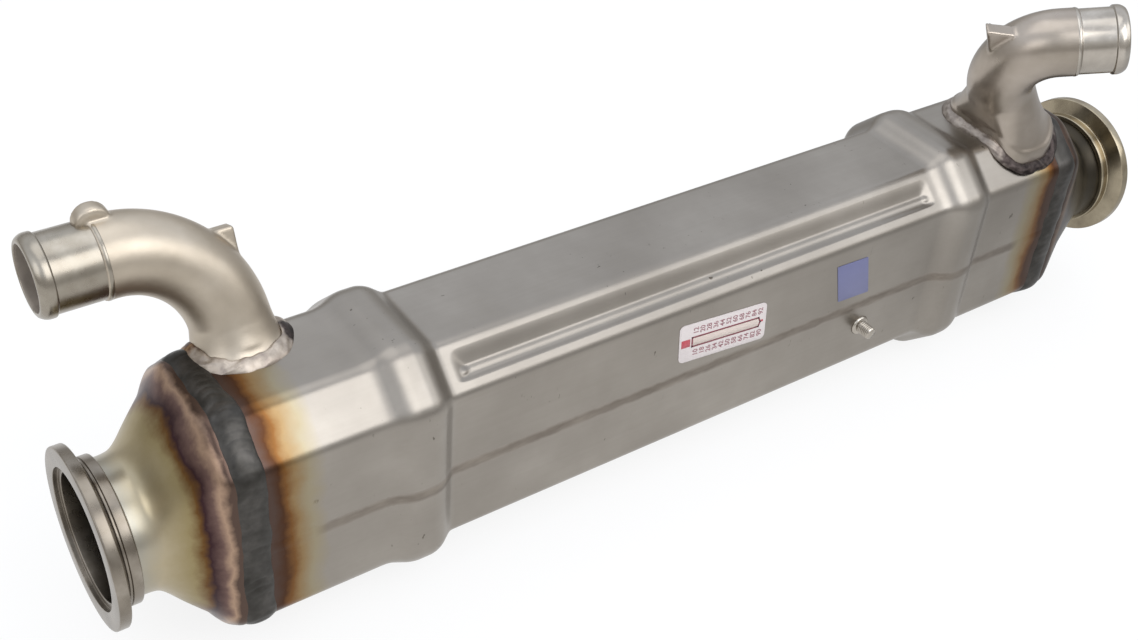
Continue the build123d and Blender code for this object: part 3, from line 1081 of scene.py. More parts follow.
    def pad_grid(self) -> Grid:
        """Solid foot pad: outline rings from under the jacket's skin up to the ledge and inwards.

        Returns:
            A closed grid.
        """
        sunk, edge = -3.5, -1.8
        ledge = self.ledge
        levels = [(0.0, sunk), (0.0, 0.0), (0.0, ledge - 1.6), (-0.5, ledge - 0.5), (edge, ledge)]
        rings = []
        for grow, lift in levels:
            ring, _ = self.foot_ring(grow, self.ring_steps)
            rings.append(np.column_stack([ring, self.surface_z(ring[:, 1], lift)]))
        centre = np.array(self.foot_centre)
        ring, _ = self.foot_ring(edge, self.ring_steps)
        for share in (0.7, 0.4, 0.1):
            inner = centre + (ring - centre) * share
            rings.append(np.column_stack([inner, self.surface_z(inner[:, 1], ledge)]))
        return Grid(np.array(rings), closed_v=True, capped=True)

    def skirt_grid(self) -> Grid:
        """Blend from the foot's outline up to the round riser, as rings that shrink towards it.

        Ring k lies between the foot's outline and the tube's ring at the same compass direction; the
        outline gives way along k^0.7, so that the skirt is steep at its foot and hollow above.

        Returns:
            A closed grid.
        """
        ring, _ = self.foot_ring(-0.6, self.ring_steps)
        base = np.column_stack([ring, self.surface_z(ring[:, 1], self.ledge - 0.8)])
        up = unit(np.array(self.lean))
        heart = np.array(self.base) + up * self.skirt
        flat = ring - np.array(self.foot_centre)
        flat = flat / np.linalg.norm(flat, axis=1, keepdims=True)
        side = np.column_stack([flat, -(flat @ up[:2]) / up[2]])
        top = heart + side / np.linalg.norm(side, axis=1, keepdims=True) * (self.body_radius + 0.2)
        share = np.linspace(0, 1, 12)[:, None, None]
        blend = np.concatenate([share ** 0.7, share ** 0.7, share], axis=2)
        return Grid(base * (1 - blend) + top * blend, closed_v=True, capped=True)

    def body_grid(self) -> Grid:
        """Tube wall with a flare at its foot, outer skin and bore joined at both ends.

        Returns:
            A closed grid.
        """
        spacing, turns = 2.0, 72
        *_, length = self.path(spacing)
        past = np.clip(1 - length / self.flare, 0, 1)
        radius = self.body_radius + (self.foot_radius - self.body_radius) * past ** 1.8
        outer = self.tube(radius, spacing, turns)
        inner = self.tube(np.full_like(radius, self.bore), spacing, turns)
        return Grid(np.vstack([outer, inner[::-1]]), closed_u=True, closed_v=True)

    def joint(self) -> tuple[Array, Array]:
        """Point and direction where the spigot starts."""
        point, direction, _ = self.path(5.0)
        return point[-1], direction[-1]

    def spigot_grid(self) -> Grid:
        """Turned spigot about its own axis: ring, land, bead, tapered tip and bore.

        Returns:
            A closed grid.
        """
        length, land, bore = self.spigot_length, self.land, self.bore
        corners = [
            (-3.0, bore, 0.2),
            (-3.0, 19.95, 0.9),
            (-1.2, 19.95, 0.6),
            (-0.3, land, 0.4),
            (length - 7.9, land, 0.2),
            (length - 7.3, 20.1, 0.6),
            (length - 3.0, 20.15, 2.2),
            (length, 17.9, 1.1),
            (length, 16.1, 0.5),
            (length - 1.5, bore, 0.6),
        ]
        section = rounded_profile(corners, 6)
        start, out = self.joint()
        side = unit(np.cross(out, [0, 0, 1.0]))
        other = np.cross(side, out)
        angle = circle(120)
        ring = side * np.cos(angle)[:, None] + other * np.sin(angle)[:, None]
        grid = start + out * section[:, :1][:, None] + ring[None] * section[:, 1:][:, None]
        return Grid(grid, closed_u=True, closed_v=True)

    def weld_grid(self) -> Grid:
        """Fillet bead round the foot: a flat oval that slants from the casting's wall to the jacket.

        Its width swells with slow lumps, and its face carries rounded knobs of a few millimetres.

        Returns:
            A closed grid.
        """
        count, slant = 760, math.radians(38)
        outside, above = 1.6, 1.5
        ring, outward = self.foot_ring(outside, count)
        centre = np.column_stack([ring, self.surface_z(ring[:, 1], above)])
        step = np.roll(centre, -1, axis=0) - np.roll(centre, 1, axis=0)
        along = step / np.linalg.norm(step, axis=1, keepdims=True)
        flat = np.column_stack([outward, np.zeros(count)])
        lift = np.cross(flat, along)
        lift *= np.sign(lift[:, 2:])
        down = flat * math.cos(slant) - lift * math.sin(slant)
        face = flat * math.sin(slant) + lift * math.cos(slant)
        length = np.cumsum(np.linalg.norm(step, axis=1) / 2)
        angle = circle(36)
        around = 2 * math.pi * length / length[-1]
        noise_radius = 26
        east, north = (np.cos(around) * noise_radius)[:, None], (np.sin(around) * noise_radius)[:, None]
        slow_size, fine_size, turn = 18.0, 9.0, 6
        slow = wave_noise(east, north, slow_size, self.seed)
        reach = wave_noise(east, north, fine_size, self.seed + 2)
        knob_east, knob_north = east + turn * np.cos(angle), north + turn * np.sin(angle)
        knobs = wave_noise(knob_east, knob_north, fine_size, self.seed + 4)
        wide = self.weld_half[0] * (0.86 + 0.14 * slow + 0.12 * reach) * np.cos(angle)
        tall = self.weld_half[1] * (0.84 + 0.14 * slow + 0.16 * knobs) * np.sin(angle)
        points = centre[:, None] + down[:, None] * wide[..., None] + face[:, None] * tall[..., None]
        return Grid(points, closed_u=True, closed_v=True)

    def ear(self) -> Grid:
        """Flat triangular ear on the back of the bend, as two triangles across the bend's plane.

        Returns:
            A closed grid.
        """
        up, _, toward, centre, _ = self.frame()
        fall = math.radians(self.ear_fall)
        corner = centre + up * self.ear_corner[0] - toward * self.ear_corner[1]
        run_end = corner + (toward * math.cos(fall) - up * math.sin(fall)) * self.ear_run
        web = np.array([corner, corner - up * self.ear_drop, run_end])
        half = np.cross(up, toward) * self.ear_half
        return Grid(np.array([web + half, web - half]), closed_v=True, capped=True)

    def marks(self) -> list[Grid]:
        """Cast marks that stand out of the body."""
        return [self.ear()]

    def line_bore(self, spigot: bpy.types.Object, finish: Material) -> None:
        """Gives the faces inside the spigot the finish of its bore.

        Args:
            spigot: The spigot's object.
            finish: Finish of the bore.
        """
        spigot.data.materials.append(finish)
        faces = spigot.data.polygons
        start, out = self.joint()
        centres = np.empty(len(faces) * 3)
        faces.foreach_get("center", centres)
        offset = centres.reshape(-1, 3) / MM - start
        from_axis = np.linalg.norm(offset - (offset @ out)[:, None] * out, axis=1)
        inside = from_axis < self.bore + self.bore_margin
        faces.foreach_set("material_index", inside.astype(np.int32))

    def build(self, cast: Material, turned: Material, weld: Material, bore: Material) -> None:
        """Makes the casting, its turned spigot and the weld round its foot.

        Args:
            cast: Finish of the casting.
            turned: Finish of the spigot's outside.
            weld: Finish of the weld.
            bore: Finish of the spigot's inside.
        """
        grids = [self.body_grid(), self.pad_grid(), self.skirt_grid(), *self.marks()]
        body = piece(f"{self.name}_casting", grids, cast, (self.node,))
        remesh = body.modifiers.new("one_casting", "REMESH")
        remesh.mode = "VOXEL"
        remesh.voxel_size = self.voxel * MM
        remesh.use_smooth_shade = True
        soften = body.modifiers.new("cast_rounds", "SMOOTH")
        soften.factor, soften.iterations = self.softening
        apply_modifiers(body)
        grids = [self.spigot_grid()]
        spigot = piece(f"{self.name}_spigot", grids, turned, (self.node,), flip=True)
        self.line_bore(spigot, bore)
        piece(self.weld_name, [self.weld_grid()], weld, (self.weld_node,))


def drum_grid(centre: Array, axis: Array, radius: float, half: float) -> Grid:
    """Closed round drum with softened rims.

    Args:
        centre: Its middle.
        axis: Direction of its axis.
        radius: Its radius.
        half: Half its height.

    Returns:
        A closed grid.
    """
    side = unit(np.cross(axis, [0.3, 0.5, 1.0]))
    other = np.cross(axis, side)
    angle = circle(48)
    ring = side * np.cos(angle)[:, None] + other * np.sin(angle)[:, None]
    levels = [(-half, 0.82), (-half * 0.75, 1.0), (half * 0.75, 1.0), (half, 0.82)]
    rings = [centre + axis * level + ring * radius * share for level, share in levels]
    return Grid(np.array(rings), closed_v=True, capped=True)


@dataclass(frozen=True)
class LuggedElbow(Elbow):
    """The near elbow, which also has a round lug on top beside its spigot.

    Attributes:
        lug_shift: The lug's middle, from the place where the spigot starts.
        lug_radius: Its radius.
        lug_half: Half its height.
    """

    lug_shift: Point = (3.1, 4.0, 17.7)
    lug_radius: float = 8.7
    lug_half: float = 4.4

    def marks(self) -> list[Grid]:
        """The ear and the round lug."""
        middle = self.joint()[0] + np.array(self.lug_shift)
        return [self.ear(), drum_grid(middle, np.array([0.0, 1.0, 0.0]), self.lug_radius, self.lug_half)]


INLET_ELBOW = LuggedElbow(
    name="coolant_inlet",
    node="coolant_inlet_elbow",
    weld_name="inlet_foot_bead",
    weld_node="inlet_elbow_weld",
    base=(93.4, 25.8, 66.0),
    lean=(0.0, 0.368, 0.930),
    riser=6.0,
    bend_radius=50.0,
    outward=(-1.0, 0.0, 0.0),
    tail=5.4,
    spigot_length=30.0,
    foot_radius=21.4,
    flare=12.0,
    foot_centre=(93.4, 23.6),
    foot_size=(44.0, 44.0),
    ledge=3.0,
    ear_corner=(48.0, 61.0),
    ear_drop=18.0,
    ear_run=16.0,
    ear_fall=0.0,
    skirt=9.0,
    seed=31,
    weld_half=(4.9, 1.6),
)
OUTLET_ELBOW = Elbow(
    name="coolant_outlet",
    node="coolant_outlet_elbow",
    weld_name="outlet_foot_bead",
    weld_node="outlet_elbow_weld",
    base=(594.3, -11.8, 66.0),
    lean=(-0.48, -0.07, 0.875),
    riser=38.0,
    bend_radius=30.0,
    outward=(0.749, -0.635, 0.187),
    tail=10.6,
    spigot_length=26.3,
    foot_radius=25.4,
    flare=38.0,
    foot_centre=(592.0, -10.5),
    foot_size=(51.0, 63.0),
    ledge=8.0,
    ear_corner=(53.2, 35.0),
    ear_drop=25.0,
    ear_run=20.4,
    ear_fall=24.0,
    skirt=34.0,
    seed=57,
    weld_half=(4.4, 2.1),
)


def srgb(code: str) -> tuple[float, float, float, float]:
    """Linear colour of an sRGB hex code.

    Args:
        code: Six hex digits.

    Returns:
        Red, green, blue and an alpha of 1.
    """
    parts = [int(code[k : k + 2], 16) / 255 for k in (0, 2, 4)]
    line = [c / 12.92 if c <= 0.04045 else ((c + 0.055) / 1.055) ** 2.4 for c in parts]
    return (*line, 1.0)


def set_stops(band: bpy.types.ColorRamp, stops: Stops) -> None:
    """Gives a colour ramp its sRGB stops.

    Args:
        band: The ramp, with its two first elements.
        stops: Pairs of a position and a colour, rising.
    """
    for element, (position, code) in zip(band.elements, (stops[0], stops[-1])):
        element.position, element.color = position, srgb(code)
    for position, code in stops[1:-1]:
        band.elements.new(position).color = srgb(code)


def add_node(
    tree: bpy.types.NodeTree, kind: str, settings: dict | None = None, links: dict | None = None
) -> Node:
    """Adds a node with its settings and links.

    Args:
        tree: Node tree that gets it.
        kind: Blender's name of the node type.
        settings: Node properties, or input values where the key is a number or an input's name.
        links: Input key to the socket that feeds it.

    Returns:
        The node.
    """
    node = tree.nodes.new(kind)
    for key, value in (settings or {}).items():
        if isinstance(key, str) and hasattr(node, key):
            setattr(node, key, value)
        else:
            node.inputs[key].default_value = value
    for key, socket in (links or {}).items():
        tree.links.new(socket, node.inputs[key])
    return node


class Recipe:
    """Builds one material's nodes around a Principled shader."""

    def __init__(self, name: str, metallic: float, roughness: float) -> None:
        """Starts a material.

        Args:
            name: Name of the finish.
            metallic: 1 for bare metal, 0 for film and paint.
            roughness: Base roughness.
        """
        self.material = bpy.data.materials.new(name)
        self.material.use_nodes = True
        self.tree = self.material.node_tree
        self.shader = self.tree.nodes["Principled BSDF"]
        self.shader.inputs["Metallic"].default_value = metallic
        self.shader.inputs["Roughness"].default_value = roughness
        self.place = self.add("ShaderNodeTexCoord").outputs["Object"]

    def add(self, kind: str, settings: dict | None = None, links: dict | None = None) -> Node:
        """Adds a node to this material, as add_node does."""
        return add_node(self.tree, kind, settings, links)

    def coordinate(self, axis: int) -> Socket:
        """The place on the part along X, Y or Z in metres, for an axis of 0, 1 or 2."""
        return self.add("ShaderNodeSeparateXYZ", None, {0: self.place}).outputs[axis]

    def noise(
        self, size_mm: float, detail: float = 3.0, rough: float = 0.55, stretch: Point = (1.0, 1.0, 1.0)
    ) -> Socket:
        """Noise of a real size.

        Args:
            size_mm: Size of its patches in millimetres.
            detail: How many finer layers it has.
            rough: Weight of the finer layers.
            stretch: How many times longer the patches are along each axis.

        Returns:
            Values of about 0 to 1.
        """
        scale = 1 / (size_mm * MM)
        scales = tuple(scale / s for s in stretch)
        spread = self.add("ShaderNodeMapping", {"Scale": scales}, {"Vector": self.place})
        settings = {"Scale": 1.0, "Detail": detail, "Roughness": rough}
        return self.add("ShaderNodeTexNoise", settings, {"Vector": spread.outputs[0]}).outputs["Fac"]

    def math(self, operation: str, first: Value, second: Value = 0.0, third: Value = 0.0) -> Socket:
        """One arithmetic step.

        Args:
            operation: Blender's name of the step.
            first: Number or socket.
            second: Number or socket.
            third: Number or socket.

        Returns:
            The result.
        """
        settings, links = {"operation": operation}, {}
        for key, value in enumerate((first, second, third)):
            if isinstance(value, Socket):
                links[key] = value
            else:
                settings[key] = value
        return self.add("ShaderNodeMath", settings, links).outputs[0]

    def ramp(self, fac: Socket, stops: Stops) -> Socket:
        """Colour ramp with sRGB stops.

        Args:
            fac: Value that chooses the colour.
            stops: Pairs of a value and a colour.

        Returns:
            The colour.
        """
        node = self.add("ShaderNodeValToRGB", None, {0: fac})
        set_stops(node.color_ramp, stops)
        return node.outputs["Color"]

    def mix(self, fac: Value, first: Socket | str, second: Socket | str) -> Socket:
        """Mixes two colours.

        Args:
            fac: Share of the second colour, a number or a socket.
            first: Colour as a socket or an sRGB code.
            second: Colour as a socket or an sRGB code.

        Returns:
            The mixed colour.
        """
        # The colour sockets of the node are its inputs 6 and 7 and its output 2.
        settings, links = {"data_type": "RGBA"}, {}
        for key, value in ((0, fac), (6, first), (7, second)):
            if isinstance(value, Socket):
                links[key] = value
            elif isinstance(value, str):
                settings[key] = srgb(value)
            else:
                settings[key] = value
        return self.add("ShaderNodeMix", settings, links).outputs[2]

    def near(self, spot: Point, radius: float) -> Socket:
        """Share of 1 at a spot that falls to 0 towards a ragged edge.

        Args:
            spot: The spot in millimetres.
            radius: Mean radius of the edge in millimetres.

        Returns:
            The share.
        """
        settings = {"operation": "DISTANCE", 1: tuple(c * MM for c in spot)}
        gap = self.add("ShaderNodeVectorMath", settings, {0: self.place}).outputs["Value"]
        ragged = self.math("MULTIPLY_ADD", self.noise(6.0, 2.0), 0.8, -0.4)
        share = self.math("ADD", self.math("DIVIDE", gap, radius * MM), ragged)
        return self.ramp(share, ((0.7, WHITE), (1.0, BLACK)))

    def bump(self, height: Socket, depth_mm: float, strength: float) -> None:
        """Adds a relief to the shader's normal, on top of any before it.

        Args:
            height: Height of the relief, 0 to 1.
            depth_mm: Its real depth in millimetres.
            strength: Share of it that shows.
        """
        settings = {"Distance": depth_mm * MM, "Strength": strength}
        node = self.add("ShaderNodeBump", settings, {"Height": height})
        slot = self.shader.inputs["Normal"]
        if slot.links:
            self.tree.links.new(slot.links[0].from_socket, node.inputs["Normal"])
        self.tree.links.new(node.outputs[0], slot)

    def colour(self, socket: Socket) -> None:
        """Feeds the base colour."""
        self.tree.links.new(socket, self.shader.inputs["Base Color"])

    def uneven(self, size_mm: float, spread: float, least: float) -> None:
        """Lets the roughness vary from least up by spread, in patches of a real size."""
        level = self.math("MULTIPLY_ADD", self.noise(size_mm), spread, least)
        self.tree.links.new(level, self.shader.inputs["Roughness"])


@dataclass(frozen=True)
class HeatTint:
    """Oxide colours beside the ring welds; a pale stop among them can be a painted highlight.

    Attributes:
        stops: Pairs of a distance from a weld's middle in millimetres and a colour.
        inlet_x: Station of the inlet's weld.
        outlet_x: Station of the outlet's weld.
        reach: Distance that the colour ramp spans.
        fading: Length over which the last colour gives way to bare metal.
        wander: How far the tints' edges wander.
        fringe: How far they fray.
    """

    stops: Stops
    inlet_x: float = 66.0
    outlet_x: float = 620.0
    reach: float = 50.0
    fading: float = 9.0
    wander: float = 5.0
    fringe: float = 1.8

    def distance(self, recipe: Recipe) -> Socket:
        """Distance from the middle of the nearest ring weld, with wandering edges.

        Args:
            recipe: Material that gets the nodes.

        Returns:
            Millimetres.
        """
        x_mm = recipe.math("MULTIPLY", recipe.coordinate(0), 1 / MM)
        near = recipe.math("ABSOLUTE", recipe.math("SUBTRACT", x_mm, self.inlet_x))
        far = recipe.math("ABSOLUTE", recipe.math("SUBTRACT", x_mm, self.outlet_x))
        nearest = recipe.math("MINIMUM", near, far)
        push = recipe.math("MULTIPLY_ADD", recipe.noise(22, 1.0), 2 * self.wander, -self.wander)
        fine = recipe.math("MULTIPLY_ADD", recipe.noise(5, 2.0), 2 * self.fringe, -self.fringe)
        return recipe.math("ADD", recipe.math("ADD", nearest, push), fine)

    def over(self, recipe: Recipe, base: Socket) -> Socket:
        """Lays the oxide colours over a base colour, and fades into it along the last stretch.

        Args:
            recipe: Material that gets the nodes.
            base: Colour of the bare metal.

        Returns:
            The tinted colour.
        """
        share = recipe.math("DIVIDE", self.distance(recipe), self.reach)
        tint = recipe.ramp(share, tuple((at / self.reach, code) for at, code in self.stops))
        last = self.stops[-1][0]
        fade = ((last / self.reach, WHITE), (min(1.0, (last + self.fading) / self.reach), BLACK))
        return recipe.mix(recipe.ramp(share, fade), base, tint)


# Beside the weld the jacket has dark scale, brown, bronze, amber and straw.
JACKET_TINT = HeatTint(
    stops=((8.0, "504039"), (13.0, "4A3020"), (17.0, "74502D"), (21.0, "8C7452"), (28.0, "968C75"))
)
# The bell ran hotter: dark scale, plum, deep brown, amber, olive straw and pale straw; the pale copper
# stop between them is a painted highlight on the shoulder before the lip.
CONE_TINT_AND_HIGHLIGHT = HeatTint(
    stops=(
        (9.5, "57473F"),
        # Pale copper: a painted highlight on the bell's shoulder, not an oxide colour.
        (12.8, "A88D78"),
        (16.0, "6C5650"),
        (20.3, "3A282B"),
        (23.0, "66492A"),
        (28.0, "948662"),
        (40.0, "AEA288"),
    )
)


@dataclass(frozen=True)
class JacketSheet:
    """Pressed stainless sheet: cold-rolled satin with faint drawing streaks and handling smudges."""

    tones: Stops = ((0.3, "8F8981"), (0.55, "98928A"), (0.75, "A19B93"))
    streak: str = "7B746B"
    speck: str = "5E574F"
    tint: HeatTint = JACKET_TINT

    def material(self) -> Material:
        """Makes the finish, whose specks lie in crowds.

        Returns:
            The material.
        """
        recipe = Recipe("pressed_stainless_jacket", 1.0, 0.42)
        base = recipe.ramp(recipe.noise(55, 4.0), self.tones)
        streaks = recipe.noise(2.2, 3.0, 0.6, (60.0, 1.0, 1.0))
        base = recipe.mix(recipe.math("MULTIPLY", streaks, 0.2), base, self.streak)
        grains = recipe.noise(3.4, 2.0, stretch=(1.0, 1.0, 2.0))
        specks = recipe.ramp(grains, ((0.69, BLACK), (0.74, WHITE)))
        crowd = recipe.ramp(recipe.noise(34, 2.0), ((0.54, BLACK), (0.64, WHITE)))
        base = recipe.mix(recipe.mix(crowd, BLACK, specks), base, self.speck)
        recipe.colour(self.tint.over(recipe, base))
        recipe.uneven(18, 0.14, 0.27)
        recipe.bump(recipe.noise(0.7, 2.0, 0.6, (14.0, 1.0, 1.0)), 0.012, 0.6)
        recipe.bump(recipe.noise(38, 2.0), 0.25, 0.35)
        return recipe.material


@dataclass(frozen=True)
class ConeSheet:
    """Pressed stainless that ran hot in welding; at the outlet end its colour is darkened by painted
    shade.

    Attributes:
        tones: Range of the bare metal's tones.
        painted_shade: Colour of the painted shade that darkens the outlet's cone.
        painted_shade_from: Stations in metres between which that painted shade comes in.
        tint: Oxide colours beside the welds, with one pale stop that is a painted highlight.
    """

    tones: Stops = ((0.3, "9A968A"), (0.6, "A8A396"), (0.8, "B2ADA0"))
    painted_shade: str = "251F17"
    painted_shade_from: Pair = (0.622, 0.636)
    tint: HeatTint = CONE_TINT_AND_HIGHLIGHT

    def material(self) -> Material:
        """Makes the finish.

        Returns:
            The material.
        """
        recipe = Recipe("heat_tint_and_painted_light_cone", 1.0, 0.3)
        tinted = self.tint.over(recipe, recipe.ramp(recipe.noise(30), self.tones))
        start, end = self.painted_shade_from
        # Towards the outlet the colour goes to near black: painted shade on the outlet's cone.
        far = recipe.ramp(recipe.coordinate(0), ((start, BLACK), (end, "F0F0F0")))
        recipe.colour(recipe.mix(far, tinted, self.painted_shade))
        recipe.uneven(12, 0.14, 0.26)
        recipe.bump(recipe.noise(0.6, 2.0), 0.01, 0.5)
        return recipe.material


@dataclass(frozen=True)
class RingWeldMetal:
    """Weld metal left as laid: dark and scaly."""

    tones: Stops = ((0.3, "3A3835"), (0.5, "464441"), (0.7, "565350"))

    def material(self) -> Material:
        """Makes the finish.

        Returns:
            The material.
        """
        recipe = Recipe("dark_weld_metal", 1.0, 0.42)
        recipe.colour(recipe.ramp(recipe.noise(11), self.tones))
        recipe.uneven(9, 0.16, 0.32)
        recipe.bump(recipe.noise(2.4), 0.05, 0.4)
        return recipe.material


@dataclass(frozen=True)
class FootWeldMetal:
    """Brushed weld metal round an elbow's foot: paler, with darker stretches and a heat tinted side.

    Attributes:
        name: Name of the finish.
        tones: Range of its tones.
        tinted: Heat tinted stretch as a spot and its radius.
        dark_stretches: Darker stretches as spots and their radii.
    """

    name: str
    tones: Stops
    tinted: tuple[Point, float] = ((74.0, 36.0, 64.0), 20.0)
    dark_stretches: tuple[tuple[Point, float], ...] = (
        ((118.0, 15.0, 67.0), 8.5),
        ((582.0, -45.0, 60.0), 21.0),
        ((609.0, -42.0, 61.0), 17.0),
    )

    def material(self) -> Material:
        """Makes the finish.

        Returns:
            The material.
        """
        recipe = Recipe(self.name, 1.0, 0.4)
        pale = recipe.ramp(recipe.noise(5), self.tones)
        gold = recipe.ramp(recipe.noise(6), ((0.35, "4E3834"), (0.65, "8C6A44")))
        colour = recipe.mix(recipe.near(*self.tinted), pale, gold)
        dark = recipe.ramp(recipe.noise(5), ((0.35, "2E2827"), (0.7, "5A514E")))
        for spot, radius in self.dark_stretches:
            colour = recipe.mix(recipe.near(spot, radius), colour, dark)
        recipe.colour(colour)
        recipe.uneven(5, 0.2, 0.34)
        recipe.bump(recipe.noise(1.3), 0.05, 0.5)
        recipe.bump(recipe.noise(4.5, 2.0), 0.5, 0.5)
        return recipe.material


@dataclass(frozen=True)
class SeamMetal:
    """Planished seam weld: flat and browner than the sheet, and darker, which is partly the weld's own
    tone and partly painted shade along the seam.
    """

    # Darker than the sheet: the weld's tone plus painted shade of the lap along the seam.
    tones: Stops = ((0.3, "736B62"), (0.5, "7F776E"), (0.7, "8D857B"))
    sheet: str = "958E86"
    tint: HeatTint = JACKET_TINT

    def material(self) -> Material:
        """Makes the finish, which gives way to the sheet's tone towards its ragged edges.

        Returns:
            The material.
        """
        recipe = Recipe("planished_seam_weld", 1.0, 0.4)
        base = recipe.ramp(recipe.noise(7, stretch=(3.0, 1.0, 1.0)), self.tones)
        half = SEAM_WIDTH / 2
        off_seam = recipe.math("MULTIPLY_ADD", recipe.coordinate(2), 1 / (half * MM), -SEAM_Z / half)
        across = recipe.math("ABSOLUTE", off_seam)
        ragged = recipe.math("ADD", across, recipe.math("MULTIPLY_ADD", recipe.noise(9), 0.7, -0.35))
        soft = recipe.mix(recipe.ramp(ragged, ((0.45, BLACK), (0.95, WHITE))), base, self.sheet)
        recipe.colour(self.tint.over(recipe, soft))
        recipe.bump(recipe.noise(0.8, 2.0), 0.02, 0.5)
        return recipe.material


@dataclass(frozen=True)
class CastStainless:
    """Investment cast stainless, blasted: an even matt grain with warm patches."""

    name: str
    tones: Stops
    rough: float

    def material(self) -> Material:
        """Makes the finish.

        Returns:
            The material.
        """
        recipe = Recipe(self.name, 1.0, self.rough)
        recipe.colour(recipe.ramp(recipe.noise(24), self.tones))
        recipe.uneven(10, 0.12, self.rough)
        recipe.bump(recipe.noise(0.55, 2.0), 0.03, 0.8)
        recipe.bump(recipe.noise(6), 0.12, 0.4)
        return recipe.material


@dataclass(frozen=True)
class CastBore:
    """Rough cast wall inside a spigot: dull and pale, so that daylight reaches into it."""

    tones: Stops = ((0.3, "8A8075"), (0.7, "A3988C"))

    def material(self) -> Material:
        """Makes the finish.

        Returns:
            The material.
        """
        recipe = Recipe("rough_cast_bore", 0.4, 0.6)
        recipe.colour(recipe.ramp(recipe.noise(9), self.tones))
        recipe.bump(recipe.noise(1.2, 2.0), 0.05, 0.6)
        return recipe.material


@dataclass(frozen=True)
class TurnedStainless:
    """Turned stainless: fine tool rings round the part, in a range of tones."""

    name: str
    tones: Stops
    rough: float = 0.22

    def material(self) -> Material:
        """Makes the finish.

        Returns:
            The material.
        """
        recipe = Recipe(self.name, 1.0, self.rough)
        recipe.colour(recipe.ramp(recipe.noise(14), self.tones))
        recipe.uneven(7, 0.12, self.rough)
        recipe.bump(recipe.noise(0.6, 2.0, 0.6, (1.0, 30.0, 30.0)), 0.008, 0.4)
        return recipe.material


@dataclass(frozen=True)
class CoreSheet:
    """Brazed core sheet in the dark inside: dull brown-grey."""

    tones: Stops = ((0.3, "4A423B"), (0.7, "6A6058"))

    def material(self) -> Material:
        """Makes the finish.

        Returns:
            The material.
        """
        recipe = Recipe("brazed_core_sheet", 1.0, 0.5)
        recipe.colour(recipe.ramp(recipe.noise(12), self.tones))
        recipe.bump(recipe.noise(1.0, 2.0), 0.03, 0.5)
        return recipe.material


@dataclass(frozen=True)
class LabelFilm:
    """Matt label film with faint creases."""

    name: str
    code: str
    dark: str

    def material(self) -> Material:
        """Makes the finish.

        Returns:
            The material.
        """
        recipe = Recipe(self.name, 0.0, 0.45)
        recipe.colour(recipe.mix(recipe.math("MULTIPLY", recipe.noise(9), 0.35), self.code, self.dark))
        recipe.bump(recipe.noise(3, 2.0), 0.02, 0.4)
        return recipe.material


@dataclass(frozen=True)
class Print:
    """Printed ink that is paler in places."""

    name: str
    code: str
    pale: str

    def material(self) -> Material:
        """Makes the finish.

        Returns:
            The material.
        """
        recipe = Recipe(self.name, 0.0, 0.5)
        recipe.colour(recipe.mix(recipe.math("MULTIPLY", recipe.noise(2, 2.0), 0.6), self.code, self.pale))
        return recipe.material


@dataclass(frozen=True)
class Label:
    """Place of a label on the front face.

    Attributes:
        at: Its middle as x and z.
        size: Its length and height.
        tilt: Angle by which its length turns, in degrees.
        lean: Angle by which its sides lean, in degrees.
        corner: Radius of its corners.
    """

    at: Pair
    size: Pair
    tilt: float
    lean: float
    corner: float


@dataclass(frozen=True)
class Stud:
    """Threaded stud and its boss on the front face.

    Attributes:
        at: Its axis as x and z.
        face: Distance of the front face from the gas axis.
        start: Height above that face where the stud's piece starts.
        tip: Height of its tip.
        radius: Radius of the thread's crests.
        pitch: Pitch of the thread.
        depth: Depth of the thread.
        runout: Heights between which the thread reaches that depth.
        chamfer: Length of the chamfer at the tip.
        tip_radius: Radius of the tip's end.
        tip_rise: How far the radius grows along the chamfer.
    """

    at: Pair = (459.5, -19.3)
    face: float = Outline().half_width
    start: float = 1.5
    tip: float = 10.5
    radius: float = 3.95
    pitch: float = 1.25
    depth: float = 0.45
    runout: Pair = (2.0, 2.6)
    chamfer: float = 0.9
    tip_radius: float = 3.2
    tip_rise: float = 0.8

    def about_axis(self, lift: Array, radius: Array, angle: Array) -> Grid:
        """Closed round form about the stud's axis.

        Args:
            lift: Heights above the front face (n,).
            radius: Radii, (n, 1) or (n, m).
            angle: Directions round the axis (m,).

        Returns:
            A closed grid.
        """
        grid = np.empty((len(lift), len(angle), 3))
        grid[..., 0] = self.at[0] + radius * np.cos(angle)
        grid[..., 1] = -(self.face + lift[:, None])
        grid[..., 2] = self.at[1] + radius * np.sin(angle)
        return Grid(grid, closed_v=True, capped=True)

    def thread_grid(self) -> Grid:
        """Stud with rolled thread: its radius falls and rises once a pitch, on a helix.

        Returns:
            A closed grid.
        """
        length = np.linspace(self.start, self.tip, 220)
        angle = circle(48)
        wave = np.abs(((length[:, None] / self.pitch - angle[None, :] / (2 * math.pi)) % 1.0) * 2 - 1)
        end = np.clip((self.tip - length) / self.chamfer, 0, 1)[:, None]
        runout = smooth_step(length, *self.runout)[:, None]
        radius = self.radius - self.depth * smooth_step(wave, 0.1, 0.9) * runout
        cone = self.tip_radius + self.tip_rise * end
        return self.about_axis(length, np.minimum(radius, cone), angle)

    def boss_grid(self) -> Grid:
        """Low boss round the stud's foot, with a rounded edge.

        Returns:
            A closed grid.
        """
        lift = np.array([0.0, 0.5, 1.1, 1.6, 1.6])
        radius = np.array([6.4, 6.2, 5.9, 5.3, 0.5])
        return self.about_axis(lift, radius[:, None], circle(48))

    def build(self, turned: Material) -> None:
        """Makes stud and boss.

        Args:
            turned: Their finish.
        """
        piece("threaded_stud", [self.thread_grid()], turned, ("mounting_stud",))
        piece("stud_foot", [self.boss_grid()], turned, ("stud_boss",))


